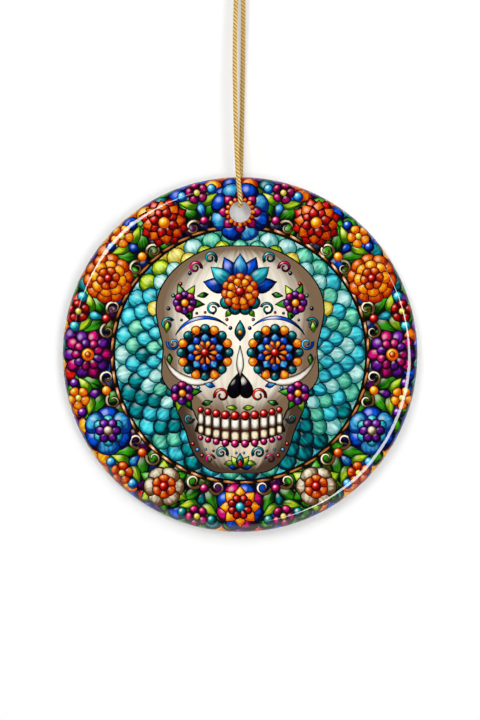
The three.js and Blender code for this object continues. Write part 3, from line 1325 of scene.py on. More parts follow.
@dataclass
class FlowerBorder:
    """The wreath between the halo and the rim: large blossoms, sprigs, scrolls and beads."""

    press: Pressing
    middle: float = 30.0
    inner: float = 25.6
    outer: float = 35.6
    ground_rows: ScaleRows = ScaleRows(36.9, 1.78, 6, 58, 3.4, 0.4)
    bright: tuple[Ink, ...] = (
        Ink.TEAL, Ink.ORANGE, Ink.LEAF, Ink.SCARLET, Ink.COBALT, Ink.VIOLET, Ink.SUN
    )
    dark: tuple[Ink, ...] = (
        Ink.LEAF, Ink.NAVY, Ink.MOSS, Ink.PLUM, Ink.LEAF, Ink.SLATE, Ink.COBALT, Ink.MOSS
    )
    sprig_inks: tuple[tuple[Ink, Ink], ...] = (
        (Ink.ROSE, Ink.SKY),
        (Ink.SUN, Ink.COBALT),
        (Ink.SCARLET, Ink.AQUA),
        (Ink.SUN, Ink.VIOLET),
        (Ink.ORANGE, Ink.SKY),
        (Ink.ROSE, Ink.TEAL),
    )

    def __post_init__(self) -> None:
        """Starts its pictures."""
        self.pictures = self.press.pictures(
            border_ground_leaves=GLASS_MANNER,
            border_leaves=PETAL_MANNER,
            border_blossoms=PETAL_MANNER,
            border_beads=BEAD_MANNER,
            border_scrolls=BEAD_MANNER,
        )
        self.ground, self.leaves, self.petals, self.beads, self.scrolls = self.pictures

    def build(self) -> None:
        """Prints the wreath."""
        self.ground_rows.lay(self.ground, lambda row, _: self.ground_ink(row))
        for step, bearing in enumerate(round_the_clock(12, 15)):
            self.sprig(bearing, *self.sprig_inks[min(step, 11 - step)])
        for step, blossom in enumerate((DAHLIA, MARIGOLD, ASTER, PANSY, ROSETTE), 1):
            for side in SIDES:
                bearing = side * 30 * step
                blossom.lay(self.petals, self.beads, polar(self.middle, bearing), bearing)
        SUNBURST.lay(self.petals, self.beads, polar(self.middle, 180))
        HOLE_BLOSSOM.lay(self.petals, self.beads, (0.0, FORM.hole_height))
        for picture in self.pictures:
            picture.join()

    def ground_ink(self, row: int) -> Ink:
        """Chooses a ground leaf's colour: bright out over the rim, and dark behind the flowers."""
        return self.press.dice.choice(self.bright if row < 2 else self.dark)

    def sprig(self, bearing: float, warm: Ink, cool: Ink) -> None:
        """Prints a sprig between two blossoms, out over the rim.

        Args:
            bearing: Where it is.
            warm: The colour of its blossom.
            cool: The colour of its beads.
        """
        leaf = straight(Outline.LEAF, 6.6, 1.5, 0.18, rows=10)
        small = straight(Outline.LEAF, 4.4, 1.1, 0.17)
        scroll = curl(1.15, 3.0, 0.4, 0.22, 0.14)
        for side in SIDES:
            self.leaves.lay(leaf, polar(self.inner + 1.0, bearing), bearing + side * 38, Ink.LEAF, 7)
            self.leaves.lay(small, polar(self.inner + 4.6, bearing), bearing + side * 66, Ink.LIME, 8)
            at = polar(self.inner + 1.5, bearing + side * 2.2)
            self.scrolls.lay(scroll, at, bearing + side * 24, Ink.CREAM, 10, side < 0)
            self.beads.bead(polar(self.outer - 2.5, bearing + side * 5.2), 1.05, cool, 9)
        at = polar(self.outer - 2.6, bearing)
        petal = straight(Outline.ROUND_PETAL, 2.0, 1.05, 0.16)
        self.leaves.ring(petal, at, 0.35, 5, (warm,), 10, bearing)
        self.beads.bead(at, 0.7, Ink.STRAW, 11)
        drop = straight(Outline.DROP, 3.0, 0.95, 0.16, rows=7)
        self.leaves.lay(drop, polar(self.inner + 2.2, bearing), bearing, cool, 9)
        self.beads.bead(polar(self.inner + 1.7, bearing), 0.95, warm, 11)


@dataclass
class SugarSkull:
    """The sugar skull of the print, in a plain folk manner, with its flowers and curls."""

    press: Pressing
    jaw: tuple[Pair, ...] = (
        (-23.4, 4.2), (-22.8, 6.2), (-21.0, 8.3), (-18.4, 9.8),
        (-15.0, 10.9), (-11.5, 12.4), (-8.0, 13.6), (-5.0, 13.9),
    )
    cranium: tuple[Pair, ...] = (
        (-15.6, 5.0), (-14.6, 7.2), (-12.8, 8.6), (-10.6, 9.6), (-8.8, 11.6), (-7.0, 14.0),
        (-4.6, 15.5), (-1.6, 15.5), (1.5, 15.3), (5.0, 16.1), (8.5, 16.7), (12.0, 16.2),
        (15.0, 14.6), (17.6, 12.2), (19.6, 9.3), (20.9, 6.4), (21.5, 3.4),
    )
    eye: Pair = (6.9, 0.4)
    eye_radius: float = 4.0
    brow: Pair = (0.0, 12.4)
    cheek: Pair = (11.4, -7.6)
    temple: Pair = (10.9, 10.2)
    base: int = 9
    smile_bend: float = 0.02
    scroll_places: tuple[tuple[float, float, float, Ink], ...] = (
        (4.9, 18.2, 40, Ink.TEAL),
        (7.6, 16.9, 10, Ink.ROSE),
        (13.2, 6.6, -30, Ink.TEAL),
        (14.3, 2.6, 200, Ink.SKY),
        (2.6, -20.0, 30, Ink.TEAL),
    )
    leaf_places: tuple[tuple[float, float, float, Ink], ...] = (
        (14.5, 4.3, 5, Ink.LIME),
        (13.9, 0.2, 178, Ink.LEAF),
        (0.5, -10.6, -84, Ink.LIME),
        (4.9, -6.3, -75, Ink.SKY),
        (3.2, -21.6, 80, Ink.LIME),
        (2.9, 7.4, 40, Ink.LIME),
        (6.2, 11.9, -100, Ink.LEAF),
        (7.6, -9.8, 75, Ink.LEAF),
    )

    def __post_init__(self) -> None:
        """Starts its pictures."""
        self.pictures = self.press.pictures(
            skull_bone=BONE_MANNER,
            skull_petals=PETAL_MANNER,
            skull_eye_glass=GLASS_MANNER,
            skull_beads=BEAD_MANNER,
            skull_curls=BEAD_MANNER,
        )
        self.bone, self.petals, self.glass, self.beads, self.curls = self.pictures

    def build(self) -> None:
        """Prints the skull."""
        self.bare_bone()
        for side in SIDES:
            self.socket(side, self.base + 3)
            self.cheek_posy(side, self.base + 3)
        self.nose()
        self.mouth(self.base + 3)
        self.forehead(self.base + 2)
        self.chin(self.base + 2)
        self.filling(self.base + 2)
        for picture in self.pictures:
            picture.join()

    def bare_bone(self) -> None:
        """Prints the bare skull: the jaw, and the cranium over it, and the cheekbones."""
        parts = ((self.jaw, Ink.SHADED_BONE), (self.cranium, Ink.BONE))
        for layer, (outline, ink) in enumerate(parts, self.base):
            rows = tuple(Station(0, z, half) for z, half in even_line(outline, 40))
            self.bone.lay(Cell(rows, 0.26, 18, True), (0, 0), 0, ink, layer)
        ridge = arc(7.0, 205, 330, 0.85, 0.12, 3)
        for side in SIDES:
            self.bone.lay(ridge, (side * 8.2, 1.6), side * 14, Ink.IVORY, self.base + 2, side < 0)

    def socket(self, side: int, layer: int) -> None:
        """Prints one socket: a ring of scallops, dark glass and a small golden sun."""
        at = (side * self.eye[0], self.eye[1])
        scallop = straight(Outline.ROUND_PETAL, 2.0, 0.98, 0.15, rows=6)
        self.petals.ring(scallop, at, self.eye_radius - 0.35, 16, (Ink.TEAL, Ink.SUN), layer)
        self.glass.bead(at, self.eye_radius + 0.8, Ink.UMBER, layer - 0.5)
        self.glass.bead(at, self.eye_radius, Ink.NIGHT, layer + 1)
        tile = straight(Outline.POINTED_PETAL, 1.9, 0.95, 0.12, rows=6)
        self.glass.ring(tile, at, 1.9, 10, (Ink.SKY, Ink.COBALT), layer + 2)
        ray = straight(Outline.DROP, 1.7, 0.5, 0.12, rows=6)
        self.petals.ring(ray, at, 0.75, 10, (Ink.ORANGE, Ink.SUN), layer + 3, 18)
        self.beads.bead(at, 0.9, Ink.SCARLET, layer + 4)
        lid = arc(6.6, 38, 142, 0.42, 0.13, 2)
        self.curls.lay(lid, (at[0], at[1] + 0.3), side * -10, Ink.COBALT, layer)

    def cheek_posy(self, side: int, layer: int) -> None:
        """Prints one cheek: a small blossom, three leaves, two curls and beads."""
        at = (side * self.cheek[0], self.cheek[1])
        leaf = straight(Outline.LEAF, 3.9, 0.95, 0.14)
        for turn, ink in ((150, Ink.LEAF), (-165, Ink.LIME), (85, Ink.LEAF)):
            self.petals.lay(leaf, at, side * turn, ink, layer)
        CHEEK_BLOSSOM.lay(self.petals, self.beads, at)
        cheek_curl = curl(1.2, 3.0, 0.36, 0.18, 0.12)
        self.curls.lay(cheek_curl, (side * 5.0, -8.6), side * -20, Ink.SCARLET, layer, side < 0)
        self.beads.bead((side * 8.2, -6.6), 0.4, Ink.SKY, layer)
        jaw_curl = curl(1.15, 2.0, 0.3, 0.16, 0.12)
        self.curls.lay(jaw_curl, (side * 9.1, -12.6), 180, Ink.TEAL, layer, side < 0)
        for step in range(3):
            spot = (side * (9.3 - 0.9 * step), -17.6 - 1.15 * step)
            self.beads.bead(spot, 0.42, (Ink.SCARLET, Ink.SKY)[step % 2], layer)

    def nose(self) -> None:
        """Prints the nose, an upside-down heart of two drops, and the nasal ridge."""
        ridge = straight(Outline.LEAF, 6.4, 0.8, 0.1)
        self.bone.lay(ridge, (0, -4.6), 0, Ink.IVORY, self.base + 2)
        drop = straight(Outline.DROP, 5.2, 1.45, 0.2, rows=10)
        for side in SIDES:
            self.beads.lay(drop, (side * 0.3, -3.6), 180 + side * 14, Ink.NIGHT, self.base + 3)

    def mouth(self, layer: int) -> None:
        """Prints two rows of teeth along a slight smile, with round gums."""
        bend = self.smile_bend
        smile = tuple(
            Station(x, bend * x * x, 2.5 - 0.012 * x * x, math.degrees(math.atan(2 * bend * x)) - 90)
            for x in np.linspace(-8.5, 8.5, 17)
        )
        self.bone.lay(Cell(smile, 0.2, 6, True), (0, -15.0), 0, Ink.GUM, layer - 1)
        for side in SIDES:
            reach = 0.0
            for half in (0.98, 0.93, 0.86, 0.77, 0.66):
                x = side * (reach + half)
                rise = bend * x * x
                shorter = 0.05 * reach
                upper = straight(Outline.TOOTH, 2.9 - shorter, half, 0.15)
                lower = straight(Outline.TOOTH, 2.3 - shorter, half, 0.15)
                self.bone.lay(upper, (x, -15.1 + rise), 0, Ink.IVORY, layer)
                self.bone.lay(lower, (x, -17.3 + rise + shorter), 0, Ink.CREAM, layer)
                self.beads.bead((x, -12.1 + rise), half, Ink.SCARLET, layer + 1)
                self.beads.bead((x, -17.6 + rise), half * 0.85, Ink.ROSE, layer + 1)
                reach += 2 * half

    def forehead(self, layer: int) -> None:
        """Prints the forehead: a marigold in a fan of petals, with sprigs, curls and beads."""
        fan = straight(Outline.POINTED_PETAL, 5.6, 1.6, 0.18, rows=9)
        for step in range(-3, 4):
            ink = (Ink.SKY, Ink.COBALT, Ink.AQUA, Ink.COBALT)[abs(step)]
            at = polar(1.9, step * 25, self.brow)
            self.petals.lay(fan, at, step * 25, ink, layer + abs(abs(step) - 3) % 2)
        foot = straight(Outline.ROUND_PETAL, 3.2, 1.35, 0.16)
        for step in (-1.5, -0.5, 0.5, 1.5):
            bearing = 180 + step * 34
            self.petals.lay(foot, polar(1.6, bearing, self.brow), bearing, Ink.TEAL, layer + 1)
        self.petals.bead(self.brow, 2.7, Ink.ORANGE, layer + 1.7)
        FOREHEAD_BLOSSOM.lay(self.petals, self.beads, self.brow)
        for side in SIDES:
            self.temple_posy(side, layer)
            for step in range(2, 6):
                ink = (Ink.SCARLET, Ink.TEAL, Ink.NAVY)[step % 3]
                spot = polar(15.3 - 0.1 * step, side * (-20 - 10.5 * step), (0.0, 4.6))
                self.beads.bead(spot, 0.42, ink, layer)
            self.beads.bead((side * 1.9, 5.2), 0.4, Ink.NAVY, layer)
            self.beads.bead((side * 2.6, 6.9), 0.34, Ink.SCARLET, layer)
        self.petals.lay(straight(Outline.LEAF, 4.2, 1.15, 0.16), (0, 2.6), 0, Ink.TEAL, layer)
        self.beads.bead((0, 4.4), 0.5, Ink.SUN, layer + 1)

    def temple_posy(self, side: int, layer: int) -> None:
        """Prints the small blossom over one eye, with its leaves and its curl."""
        at = (side * self.temple[0], self.temple[1])
        leaf = straight(Outline.LEAF, 4.0, 1.0, 0.15)
        for turn, ink in ((160, Ink.LEAF), (30, Ink.LIME), (95, Ink.LEAF), (-20, Ink.LEAF)):
            self.petals.lay(leaf, at, side * turn, ink, layer)
        TEMPLE_BLOSSOM.lay(self.petals, self.beads, at)
        spiral = curl(1.3, 2.6, 0.32, 0.17, 0.12)
        self.curls.lay(spiral, (side * 4.1, 9.3), side * -15, Ink.TEAL, layer, side > 0)

    def chin(self, layer: int) -> None:
        """Prints the chin: five leaves over a red drop, and two curls."""
        leaf = straight(Outline.LEAF, 2.9, 0.85, 0.14)
        for step in (-2, -1, 0, 1, 2):
            ink = (Ink.TEAL, Ink.LIME, Ink.COBALT)[abs(step)]
            film = layer + 0.3 * (2 - abs(step)) + 0.1 * (step > 0)
            self.petals.lay(leaf, (0, -22.3), step * 38, ink, film)
        drop = straight(Outline.DROP, 1.8, 0.66, 0.13)
        self.petals.lay(drop, (0, -20.5), 180, Ink.SCARLET, layer + 1)
        spiral = curl(1.1, 2.0, 0.26, 0.14, 0.1)
        for side in SIDES:
            self.curls.lay(spiral, (side * 5.0, -20.6), 0, Ink.ROSE, layer, side > 0)

    def filling(self, layer: int) -> None:
        """Prints the small scrolls, leaves and beads that fill the bare bone on both sides."""
        spiral = curl(1.25, 2.5, 0.36, 0.18, 0.13)
        leaf = straight(Outline.LEAF, 2.3, 0.62, 0.13)
        for side in SIDES:
            for x, z, turn, ink in self.scroll_places:
                self.curls.lay(spiral, (side * x, z), side * turn, ink, layer, side > 0)
            for x, z, turn, ink in self.leaf_places:
                self.petals.lay(leaf, (side * x, z), side * turn, ink, layer + 0.2)
            for step in range(5):
                at = (side * self.eye[0], self.eye[1])
                spot = polar(7.9, side * (12 * step - 36), at)
                self.curls.bead(spot, 0.3, (Ink.UMBER, Ink.SCARLET)[step % 2], layer)
                out = 1.5 * step
                spot = (side * (out + 0.75), self.smile_bend * out**2 - 19.4)
                if step != 1:
                    self.curls.bead(spot, 0.28, (Ink.SKY, Ink.UMBER)[step % 2], layer)


def run_along(line: np.ndarray) -> np.ndarray:
    """Gives how far along a line each of its points lies."""
    return np.concatenate([[0], np.cumsum(np.linalg.norm(np.diff(line, axis=0), axis=1))])


def even_line(points: list | tuple, count: int = 0, step: float = 1.0) -> np.ndarray:
    """Draws a smooth line through points and divides it evenly.

    Args:
        points: The points.
        count: How many new points are wanted, or 0 where their distance is given.
        step: How far apart the new points lie.

    Returns:
        The points on the line.
    """
    given = np.array([points[0], *points, points[-1]], float)
    share = np.linspace(0, 1, 24, endpoint=False)[:, None]
    fine = [
        0.5
        * (
            2 * p1
            + (p2 - p0) * share
            + (2 * p0 - 5 * p1 + 4 * p2 - p3) * share**2
            + (3 * p1 - p0 - 3 * p2 + p3) * share**3
        )
        for p0, p1, p2, p3 in zip(given, given[1:], given[2:], given[3:])
    ]
    line = np.concatenate([*fine, given[-1:]])
    along = run_along(line)
    wanted = np.linspace(0, along[-1], count or max(2, round(along[-1] / step) + 1))
    return np.stack([np.interp(wanted, along, axis) for axis in line.T], 1)


def carried_frame(line: np.ndarray) -> tuple[np.ndarray, np.ndarray]:
    """Carries two unit vectors across a line along it, without twist.

    Args:
        line: The line's points.

    Returns:
        The two vectors at each point.
    """
    ways = np.gradient(line, axis=0)
    ways /= np.linalg.norm(ways, axis=1)[:, None]
    start = np.cross(ways[0], (0.0, 1.0, 0.0) if abs(ways[0][1]) < 0.9 else (1.0, 0.0, 0.0))
    side = [start / np.linalg.norm(start)]
    for way in ways[1:]:
        carried = side[-1] - way * (side[-1] @ way)
        side.append(carried / np.linalg.norm(carried))
    sides = np.array(side)
    return sides, np.cross(ways, sides)


@dataclass(frozen=True)
class GoldThread:
    """The cord's twisted metallic thread."""

    name: str = "gold_thread"

    def material(self) -> Material:
        """Makes the material, whose fine threads run along each ply's own map, with painted glints, and
        painted shade in the grooves and on the strand behind.
        """
        canvas = Canvas(bpy.data.materials.new(self.name))
        round_it, along = canvas.own_map()
        lay = canvas.sum("MULTIPLY", round_it, 12 * math.pi)
        thread = canvas.sum("SINE", canvas.sum("MULTIPLY_ADD", along, 16000.0, lay))
        ridge = canvas.sum("MULTIPLY_ADD", thread, 0.5, 0.5)
        place = canvas.place()
        # Fine noise and the threads' crests lift the gold towards a pale gold: painted glints.
        glint = canvas.noise(place, 5200.0, 2.0)
        tone = canvas.sum("MULTIPLY_ADD", glint, 0.7, canvas.sum("MULTIPLY", ridge, 0.3))
        tone = canvas.eased(tone, 0.25, 0.85)
        colour = canvas.mixed(tone, linear((0.97, 0.74, 0.31)), linear((1.0, 0.95, 0.68)))
        # The points that lie deep between the plies darken the gold: painted shade in the grooves.
        deep = canvas.eased(canvas.attribute("groove_shade", "Fac"), 0.1, 0.75)
        colour = canvas.mixed(deep, colour, linear((0.44, 0.26, 0.04)))
        # The cord behind the disc's middle plane along Y is painted darker: painted shade on the back
        # strand.
        behind = canvas.eased(canvas.split(place)[1], -1.5 * MM, 1.5 * MM)
        shade = canvas.sum("MULTIPLY", behind, 0.3)
        colour = canvas.mixed(shade, colour, linear((0.46, 0.32, 0.10)))
        normal = canvas.bump(ridge, 0.02 * MM, 0.5)
        return canvas.gloss(colour, 0.34, Metallic=0.35, Normal=normal)


@dataclass
class HangingCord:
    """The gold cord: two strands from the hole up to the knot, the knot and its two cut ends.

    Its places are in millimetres. A row of the rise is how far right the front strand lies, how
    far right the back strand lies, how far each stands off the middle, and their height. A row of
    the bight is how far it stands off the middle, and its height.
    """

    diameter: float = 1.0
    lay_length: float = 2.25
    plies: int = 3
    ply_sides: int = 8
    ply_swell: float = 1.08
    step: float = 0.11
    knot_turns: int = 4
    knot_pitch: float = 1.06
    tail_gap: float = 0.3
    tail_fray: float = 0.25
    twist_end: float = -25.0
    rise: tuple[tuple[float, float, float, float], ...] = (
        (0.0, 0.0, 2.25, -46.1),
        (-0.11, 0.03, 2.25, -45.0),
        (-0.31, 0.08, 2.25, -43.0),
        (-0.47, 0.13, 2.25, -41.0),
        (-0.58, 0.18, 2.25, -39.0),
        (-0.7, 0.25, 2.25, -36.0),
        (-0.8, 0.31, 2.25, -33.0),
        (-0.91, 0.39, 2.24, -29.0),
        (-0.99, 0.46, 2.18, -25.0),
        (-1.04, 0.52, 2.02, -21.0),
        (-1.04, 0.57, 1.75, -17.0),
        (-0.99, 0.6, 1.4, -13.0),
        (-0.89, 0.61, 1.0, -9.0),
        (-0.76, 0.6, 0.62, -5.5),
        (-0.64, 0.57, 0.3, -2.6),
        (-0.56, 0.54, 0.14, -1.2),
        (-0.53, 0.53, 0.08, -0.3),
    )
    bight: tuple[Pair, ...] = (
        (2.25, -46.4),
        (2.17, -46.83),
        (1.9, -47.25),
        (1.48, -47.52),
        (1.05, -47.6),
        (0.5, -47.6),
    )
    tails: tuple[Route, ...] = (
        ((-0.53, -0.05, 0), (-0.6, -0.08, 1.3), (-0.9, -0.2, 3.3), (-1.5, -0.4, 5.7), (-2.5, -0.7, 8.4)),
        ((0.53, 0.05, 0), (0.58, 0.08, 1.3), (0.8, 0.2, 3.1), (1.15, 0.45, 5.1), (1.7, 0.8, 7.5)),
    )

    thread: Material = field(init=False)

    def build(self) -> None:
        """Models the cord, dresses it and bakes the places of its two free strands into their meshes."""
        self.thread = GoldThread().material()
        turn = [(0.0, -depth, height) for depth, height in self.bight]
        turn = [*turn, (0.0, 0.0, turn[-1][2]), *((0.0, -y, z) for _, y, z in reversed(turn))]
        front = [(x, -depth, height) for x, _, depth, height in reversed(self.rise)]
        back = [(x, depth, height) for _, x, depth, height in self.rise]
        whole = self.route([(-0.53, -0.05, 0.4), *front, *turn, *back, (0.53, 0.05, 0.4)])
        first, last = (
            int(np.argmin(np.linalg.norm(whole - np.array(end) * MM, axis=1)))
            for end in (turn[0], turn[-1])
        )
        strand = self.plied("cord_front_strand", whole, slice(0, first + 1))
        bight = self.plied("cord_bight_turn", whole, slice(first, last + 1))
        other = self.plied("cord_back_strand", whole, slice(last, len(whole)))
        knot = self.knot()
        tails = [
            self.tail(name, route)
            for name, route in zip(("cord_front_end", "cord_back_end"), self.tails)
        ]
        for piece, node, body in (
            (strand, "cord_front_run", None),
            (other, "cord_back_run", None),
            (bight, "cord_bight", "cord_loop"),
            (knot, "cord_knot", "knot"),
            (tails[0], "cord_front_tail", "knot"),
            (tails[1], "cord_back_tail", "knot"),
        ):
            stand_for(piece, node, body)
            LOG.info("cord piece %s: %d faces", piece.name, len(piece.data.polygons))
        self.declare(strand)
        self.declare(other)

    def route(self, points: list[tuple[float, float, float]]) -> np.ndarray:
        """Gives an even line through points, in metres."""
        return even_line(np.array(points, float) * MM, step=self.step * MM)

    def declare(self, piece: Piece) -> None:
        """Bakes a strand's place in the scene into its mesh.

        Args:
            piece: The strand.
        """
        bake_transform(piece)

    def plied(self, name: str, line: np.ndarray, stretch: slice, fray: float = 0.0) -> Piece:
        """Winds the plies round a stretch of a middle line and makes them one mesh.

        Args:
            name: The piece's name.
            line: The whole middle line.
            stretch: Which of its points are wanted.
            fray: How far the plies part at the far end, in millimetres.

        Returns:
            The piece.
        """
        share = math.sin(math.pi / self.plies)
        ply_radius = self.diameter / 2 * share / (1 + share) * self.ply_swell
        side, other = (ways[stretch] for ways in carried_frame(line))
        turn = (np.arange(len(line)) * self.step / self.lay_length * -2 * math.pi)[stretch]
        middle = line[stretch]
        reach = self.diameter / 2 - ply_radius + np.linspace(0, 1, len(middle)) ** 6 * fray
        around = 2 * math.pi * np.arange(self.ply_sides)[:, None] / self.ply_sides
        points, faces, spots = [], [], []
        for ply in range(self.plies):
            angle = (turn + 2 * math.pi * ply / self.plies)[:, None]
            axis = middle + (side * np.cos(angle) + other * np.sin(angle)) * reach[:, None] * MM
            across, up = (ways[:, None] for ways in carried_frame(axis))
            rings = across * np.cos(around) + up * np.sin(around)
            points.append((axis[:, None] + rings * ply_radius * MM).reshape(-1, 3))
            self._skin(ply * len(axis), run_along(axis), faces, spots)
        mesh = bpy.data.meshes.new(name)
        mesh.from_pydata(np.concatenate(points).tolist(), [], faces)
        layer = mesh.uv_layers.new(name="UVMap")
        layer.data.foreach_set("uv", np.array(spots, np.float32).ravel())
        mesh.materials.append(self.thread)
        mesh.update()
        # How far each point lies in from the cord's surface, stored to paint shade into the grooves
        # between the plies.
        off = np.concatenate(points) - np.tile(np.repeat(middle, self.ply_sides, 0), (self.plies, 1))
        depth = (1 - np.linalg.norm(off, axis=1) / (self.diameter / 2 * MM)) / 0.35
        groove_shade = mesh.attributes.new("groove_shade", "FLOAT", "POINT")
        groove_shade.data.foreach_set("value", np.clip(depth, 0, 1).astype(np.float32))
        piece = bpy.data.objects.new(name, mesh)
        bpy.context.scene.collection.objects.link(piece)
        made_active(piece)
        bpy.ops.object.shade_smooth_by_angle(angle=math.radians(50))
        return piece

    def _skin(self, before: int, along: np.ndarray, faces: list, spots: list) -> None:
        """Adds the faces of one ply, and their places on its map.

        Args:
            before: How many rings lie before its first one.
            along: How far along the ply each of its rings lies.
            faces: The faces so far.
            spots: The places on the map so far.
        """
        sides = self.ply_sides
        for ring, (start, end) in enumerate(zip(along, along[1:]), before):
            low = ring * sides
            for corner in range(sides):
                after = (corner + 1) % sides
                faces.append((low + corner, low + after, low + sides + after, low + sides + corner))
                left, right = corner / sides, (corner + 1) / sides
                spots += [(left, start), (right, start), (right, end), (left, end)]
        first, last = before * sides, (before + len(along) - 1) * sides
        faces += [range(first + sides - 1, first - 1, -1), range(last, last + sides)]
        spots += [(0.5, along[0])] * sides + [(0.5, along[-1])] * sides

    def knot(self) -> Piece:
        """Models the barrel knot: the cord wound round both strands."""
        radius = self.diameter * 1.5
        count, tuck_steps = 64, 10
        total = self.knot_turns * count
        line = []
        for step in range(-tuck_steps, total + tuck_steps + 1):
            share = min(max(step / total, 0.0), 1.0)
            angle = 2 * math.pi * step / count
            reach = radius - max(0, -step, step - total) / tuck_steps * radius * 0.45
            height = self.knot_pitch * (0.5 + share * (self.knot_turns - 1))
            line.append((reach * math.cos(angle), reach * math.sin(angle), height))
        wrap = self.whole("cord_knot_wrap", line)
        cores = [
            self.whole("core", [(*route[0][:2], z) for z in (0.2, 1.5, 3.0, 4.4)])
            for route in self.tails
        ]
        join_into(wrap, cores)
        return wrap

    def whole(self, name: str, points: list[tuple[float, float, float]], fray: float = 0.0) -> Piece:
        """Winds the plies along the whole of a line through points."""
        line = self.route(points)
        return self.plied(name, line, slice(0, len(line)), fray)

    def tail(self, name: str, route: Route) -> Piece:
        """Models one cut end, whose plies part a little at the tip."""
        base = self.knot_turns * self.knot_pitch + self.tail_gap
        points = [(*route[0][:2], 3.6), *((x, y, z + base) for x, y, z in route)]
        return self.whole(name, points, self.tail_fray)


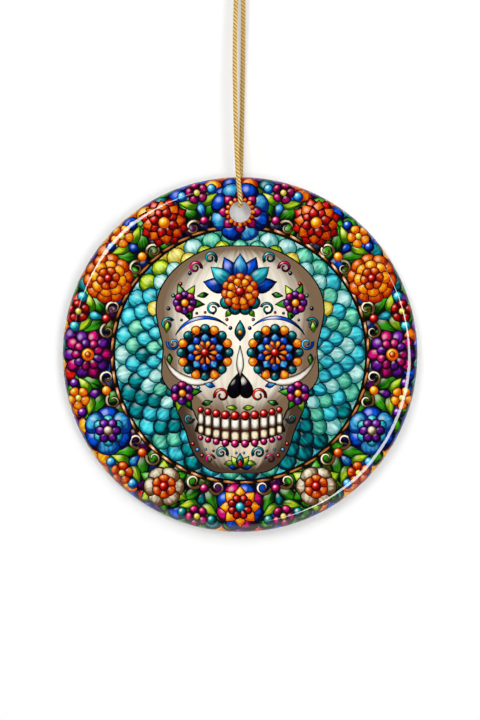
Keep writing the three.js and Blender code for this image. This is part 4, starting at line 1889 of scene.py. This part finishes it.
@dataclass
class Studio:
    """The white wall and floor, the camera and the soft lamps."""

    picture_height: float = 720.0
    disc_centre: Pair = (240.1, 354.5)
    disc_radius: float = 177.6
    picture_middle: Pair = (240.0, 360.0)
    camera_distance: float = 1.2
    sensor: float = 36.0
    wall_gap: float = 3.6
    wall_half: float = 0.9
    floor_drop: float = 700.0

    def camera(self) -> None:
        """Sets the camera straight in front of the disc, framed as the photograph is."""
        scale = FORM.radius * MM / self.disc_radius
        right = (self.picture_middle[0] - self.disc_centre[0]) * scale
        down = (self.picture_middle[1] - self.disc_centre[1]) * scale
        spot = Vector((FORM.centre.x + right, -self.camera_distance, FORM.centre.z - down))
        bpy.ops.object.camera_add(location=spot, rotation=(math.radians(90), 0, 0))
        camera = bpy.context.object
        camera.name = "camera"
        reach = self.camera_distance + FORM.front * MM
        camera.data.sensor_width = self.sensor
        camera.data.lens = self.sensor * reach / (self.picture_height * scale)
        camera.data.clip_start = 0.01
        camera.data.clip_end = 20.0
        bpy.context.scene.camera = camera

    def backdrop(self) -> None:
        """Sets the white wall close behind the disc and the pale floor below it."""
        low = CAD_BOUNDS[0].z - self.floor_drop * MM
        paper = self.white_paper()
        for name, tilt, y, z in (
            ("backdrop_wall", 90, self.wall_gap * MM, low + self.wall_half),
            ("pale_floor", 0, self.wall_gap * MM - self.wall_half, low),
        ):
            bare_scene()
            bpy.ops.mesh.primitive_plane_add(size=2 * self.wall_half, location=(0, y, z))
            sheet = bpy.context.object
            sheet.name = name
            sheet.rotation_euler = (math.radians(tilt), 0, 0)
            sheet.data.materials.append(paper)

    def white_paper(self) -> Material:
        """Makes the backdrop, which keeps the shadow, and lets light through to the disc's back."""
        canvas = Canvas(bpy.data.materials.new("white_paper"))
        paths = canvas.node("ShaderNodeLightPath").outputs
        seen = canvas.sum("MAXIMUM", paths["Is Camera Ray"], paths["Is Glossy Ray"])
        seen = canvas.sum("MAXIMUM", seen, paths["Is Transmission Ray"])
        matt = canvas.fed("ShaderNodeBsdfDiffuse", (0.75, 0.75, 0.75, 1)).outputs[0]
        glow = canvas.node("ShaderNodeEmission")
        canvas.feed(glow.inputs["Strength"], canvas.sum("MULTIPLY", seen, 0.14))
        both = canvas.fed("ShaderNodeAddShader", matt, glow.outputs[0]).outputs[0]
        clear = canvas.node("ShaderNodeBsdfTransparent").outputs[0]
        facing = canvas.node("ShaderNodeNewGeometry").outputs["Backfacing"]
        first = canvas.sum("LESS_THAN", paths["Diffuse Depth"], 0.5)
        through = canvas.sum("MULTIPLY", paths["Is Shadow Ray"], first)
        choice = canvas.sum("MAXIMUM", facing, through)
        return canvas.finished(canvas.fed("ShaderNodeMixShader", choice, both, clear).outputs[0])

    def lamp(
        self, name: str, bearing: float, tilt: float, distance: float, size: Pair, power: float
    ) -> Piece:
        """Sets a soft lamp that looks at the disc.

        Args:
            name: Its name.
            bearing: Its bearing about the camera's line from the top, to the left.
            tilt: How far it stands off that line, in degrees.
            distance: How far it stands from the disc, in metres.
            size: How long it is round the line, and how wide across, in metres.
            power: Its power in watts.

        Returns:
            The lamp.
        """
        lean = math.radians(tilt)
        x, z = polar(math.sin(lean), bearing)
        spot = FORM.centre + Vector((x, -math.cos(lean), z)) * distance
        bpy.ops.object.light_add(type="AREA", location=spot)
        lamp = bpy.context.object
        lamp.name = name
        lamp.data.shape = "RECTANGLE"
        lamp.data.size, lamp.data.size_y = size
        lamp.data.energy = power
        back = (spot - FORM.centre).normalized()
        outwards = Vector((*polar(1.0, bearing), 0)).xzy
        across = outwards.cross(back).normalized()
        turned_to = Matrix((across, back.cross(across), back)).transposed()
        lamp.rotation_euler = turned_to.to_euler()
        lamp.visible_camera = False
        return lamp

    def lights(self) -> None:
        """Sets the two boxes that gleam in the glaze, two soft lights and one behind."""
        self.lamp("upper_left_box", 46, 17.5, 1.1, (0.14, 0.48), 1.8)
        self.lamp("right_box", -115, 17.5, 1.1, (0.42, 0.42), 4.4)
        self.lamp("upper_left_fill", 46, 18, 1.1, (0.3, 0.3), 1.6).visible_glossy = False
        self.lamp("top_box", 0, 28, 1.1, (1.0, 0.5), 4.2).visible_glossy = False
        self.lamp("back_box", 30, 145, 1.0, (0.8, 0.8), 9.0)

    def world(self) -> None:
        """Sets a plain world: white to look at, and dark on the camera's side to reflect."""
        canvas = Canvas(bpy.data.worlds.new("plain_world"))
        paths = canvas.node("ShaderNodeLightPath").outputs
        way = canvas.split(canvas.node("ShaderNodeTexCoord").outputs["Generated"])
        behind = canvas.fed("ShaderNodeMapRange", way[1], -0.35, 0.3, 0.02, 1.0).outputs[0]
        mirrored = canvas.mixed(paths["Is Glossy Ray"], 0.26, behind, "FLOAT")
        seen = canvas.sum("MAXIMUM", paths["Is Camera Ray"], paths["Is Transmission Ray"])
        strength = canvas.mixed(seen, mirrored, 1.0, "FLOAT")
        white = canvas.fed("ShaderNodeBackground", (1, 1, 1, 1), strength)
        bpy.context.scene.world = canvas.finished(white.outputs[0], "World")
        bpy.context.scene.view_settings.view_transform = "Standard"


def main() -> None:
    """Builds the studio, the cord, the disc and the print, in that order."""
    logging.basicConfig(level=logging.INFO, format="%(message)s")
    studio = Studio()
    studio.camera()
    HangingCord().build()
    PorcelainDisc().build()
    GlazedCoat().build()
    press = Pressing()
    for part in (ScaleHalo(press), FlowerBorder(press), SugarSkull(press)):
        part.build()
    press.clear()
    studio.backdrop()
    studio.lights()
    studio.world()


if __name__ == "__main__":
    main()
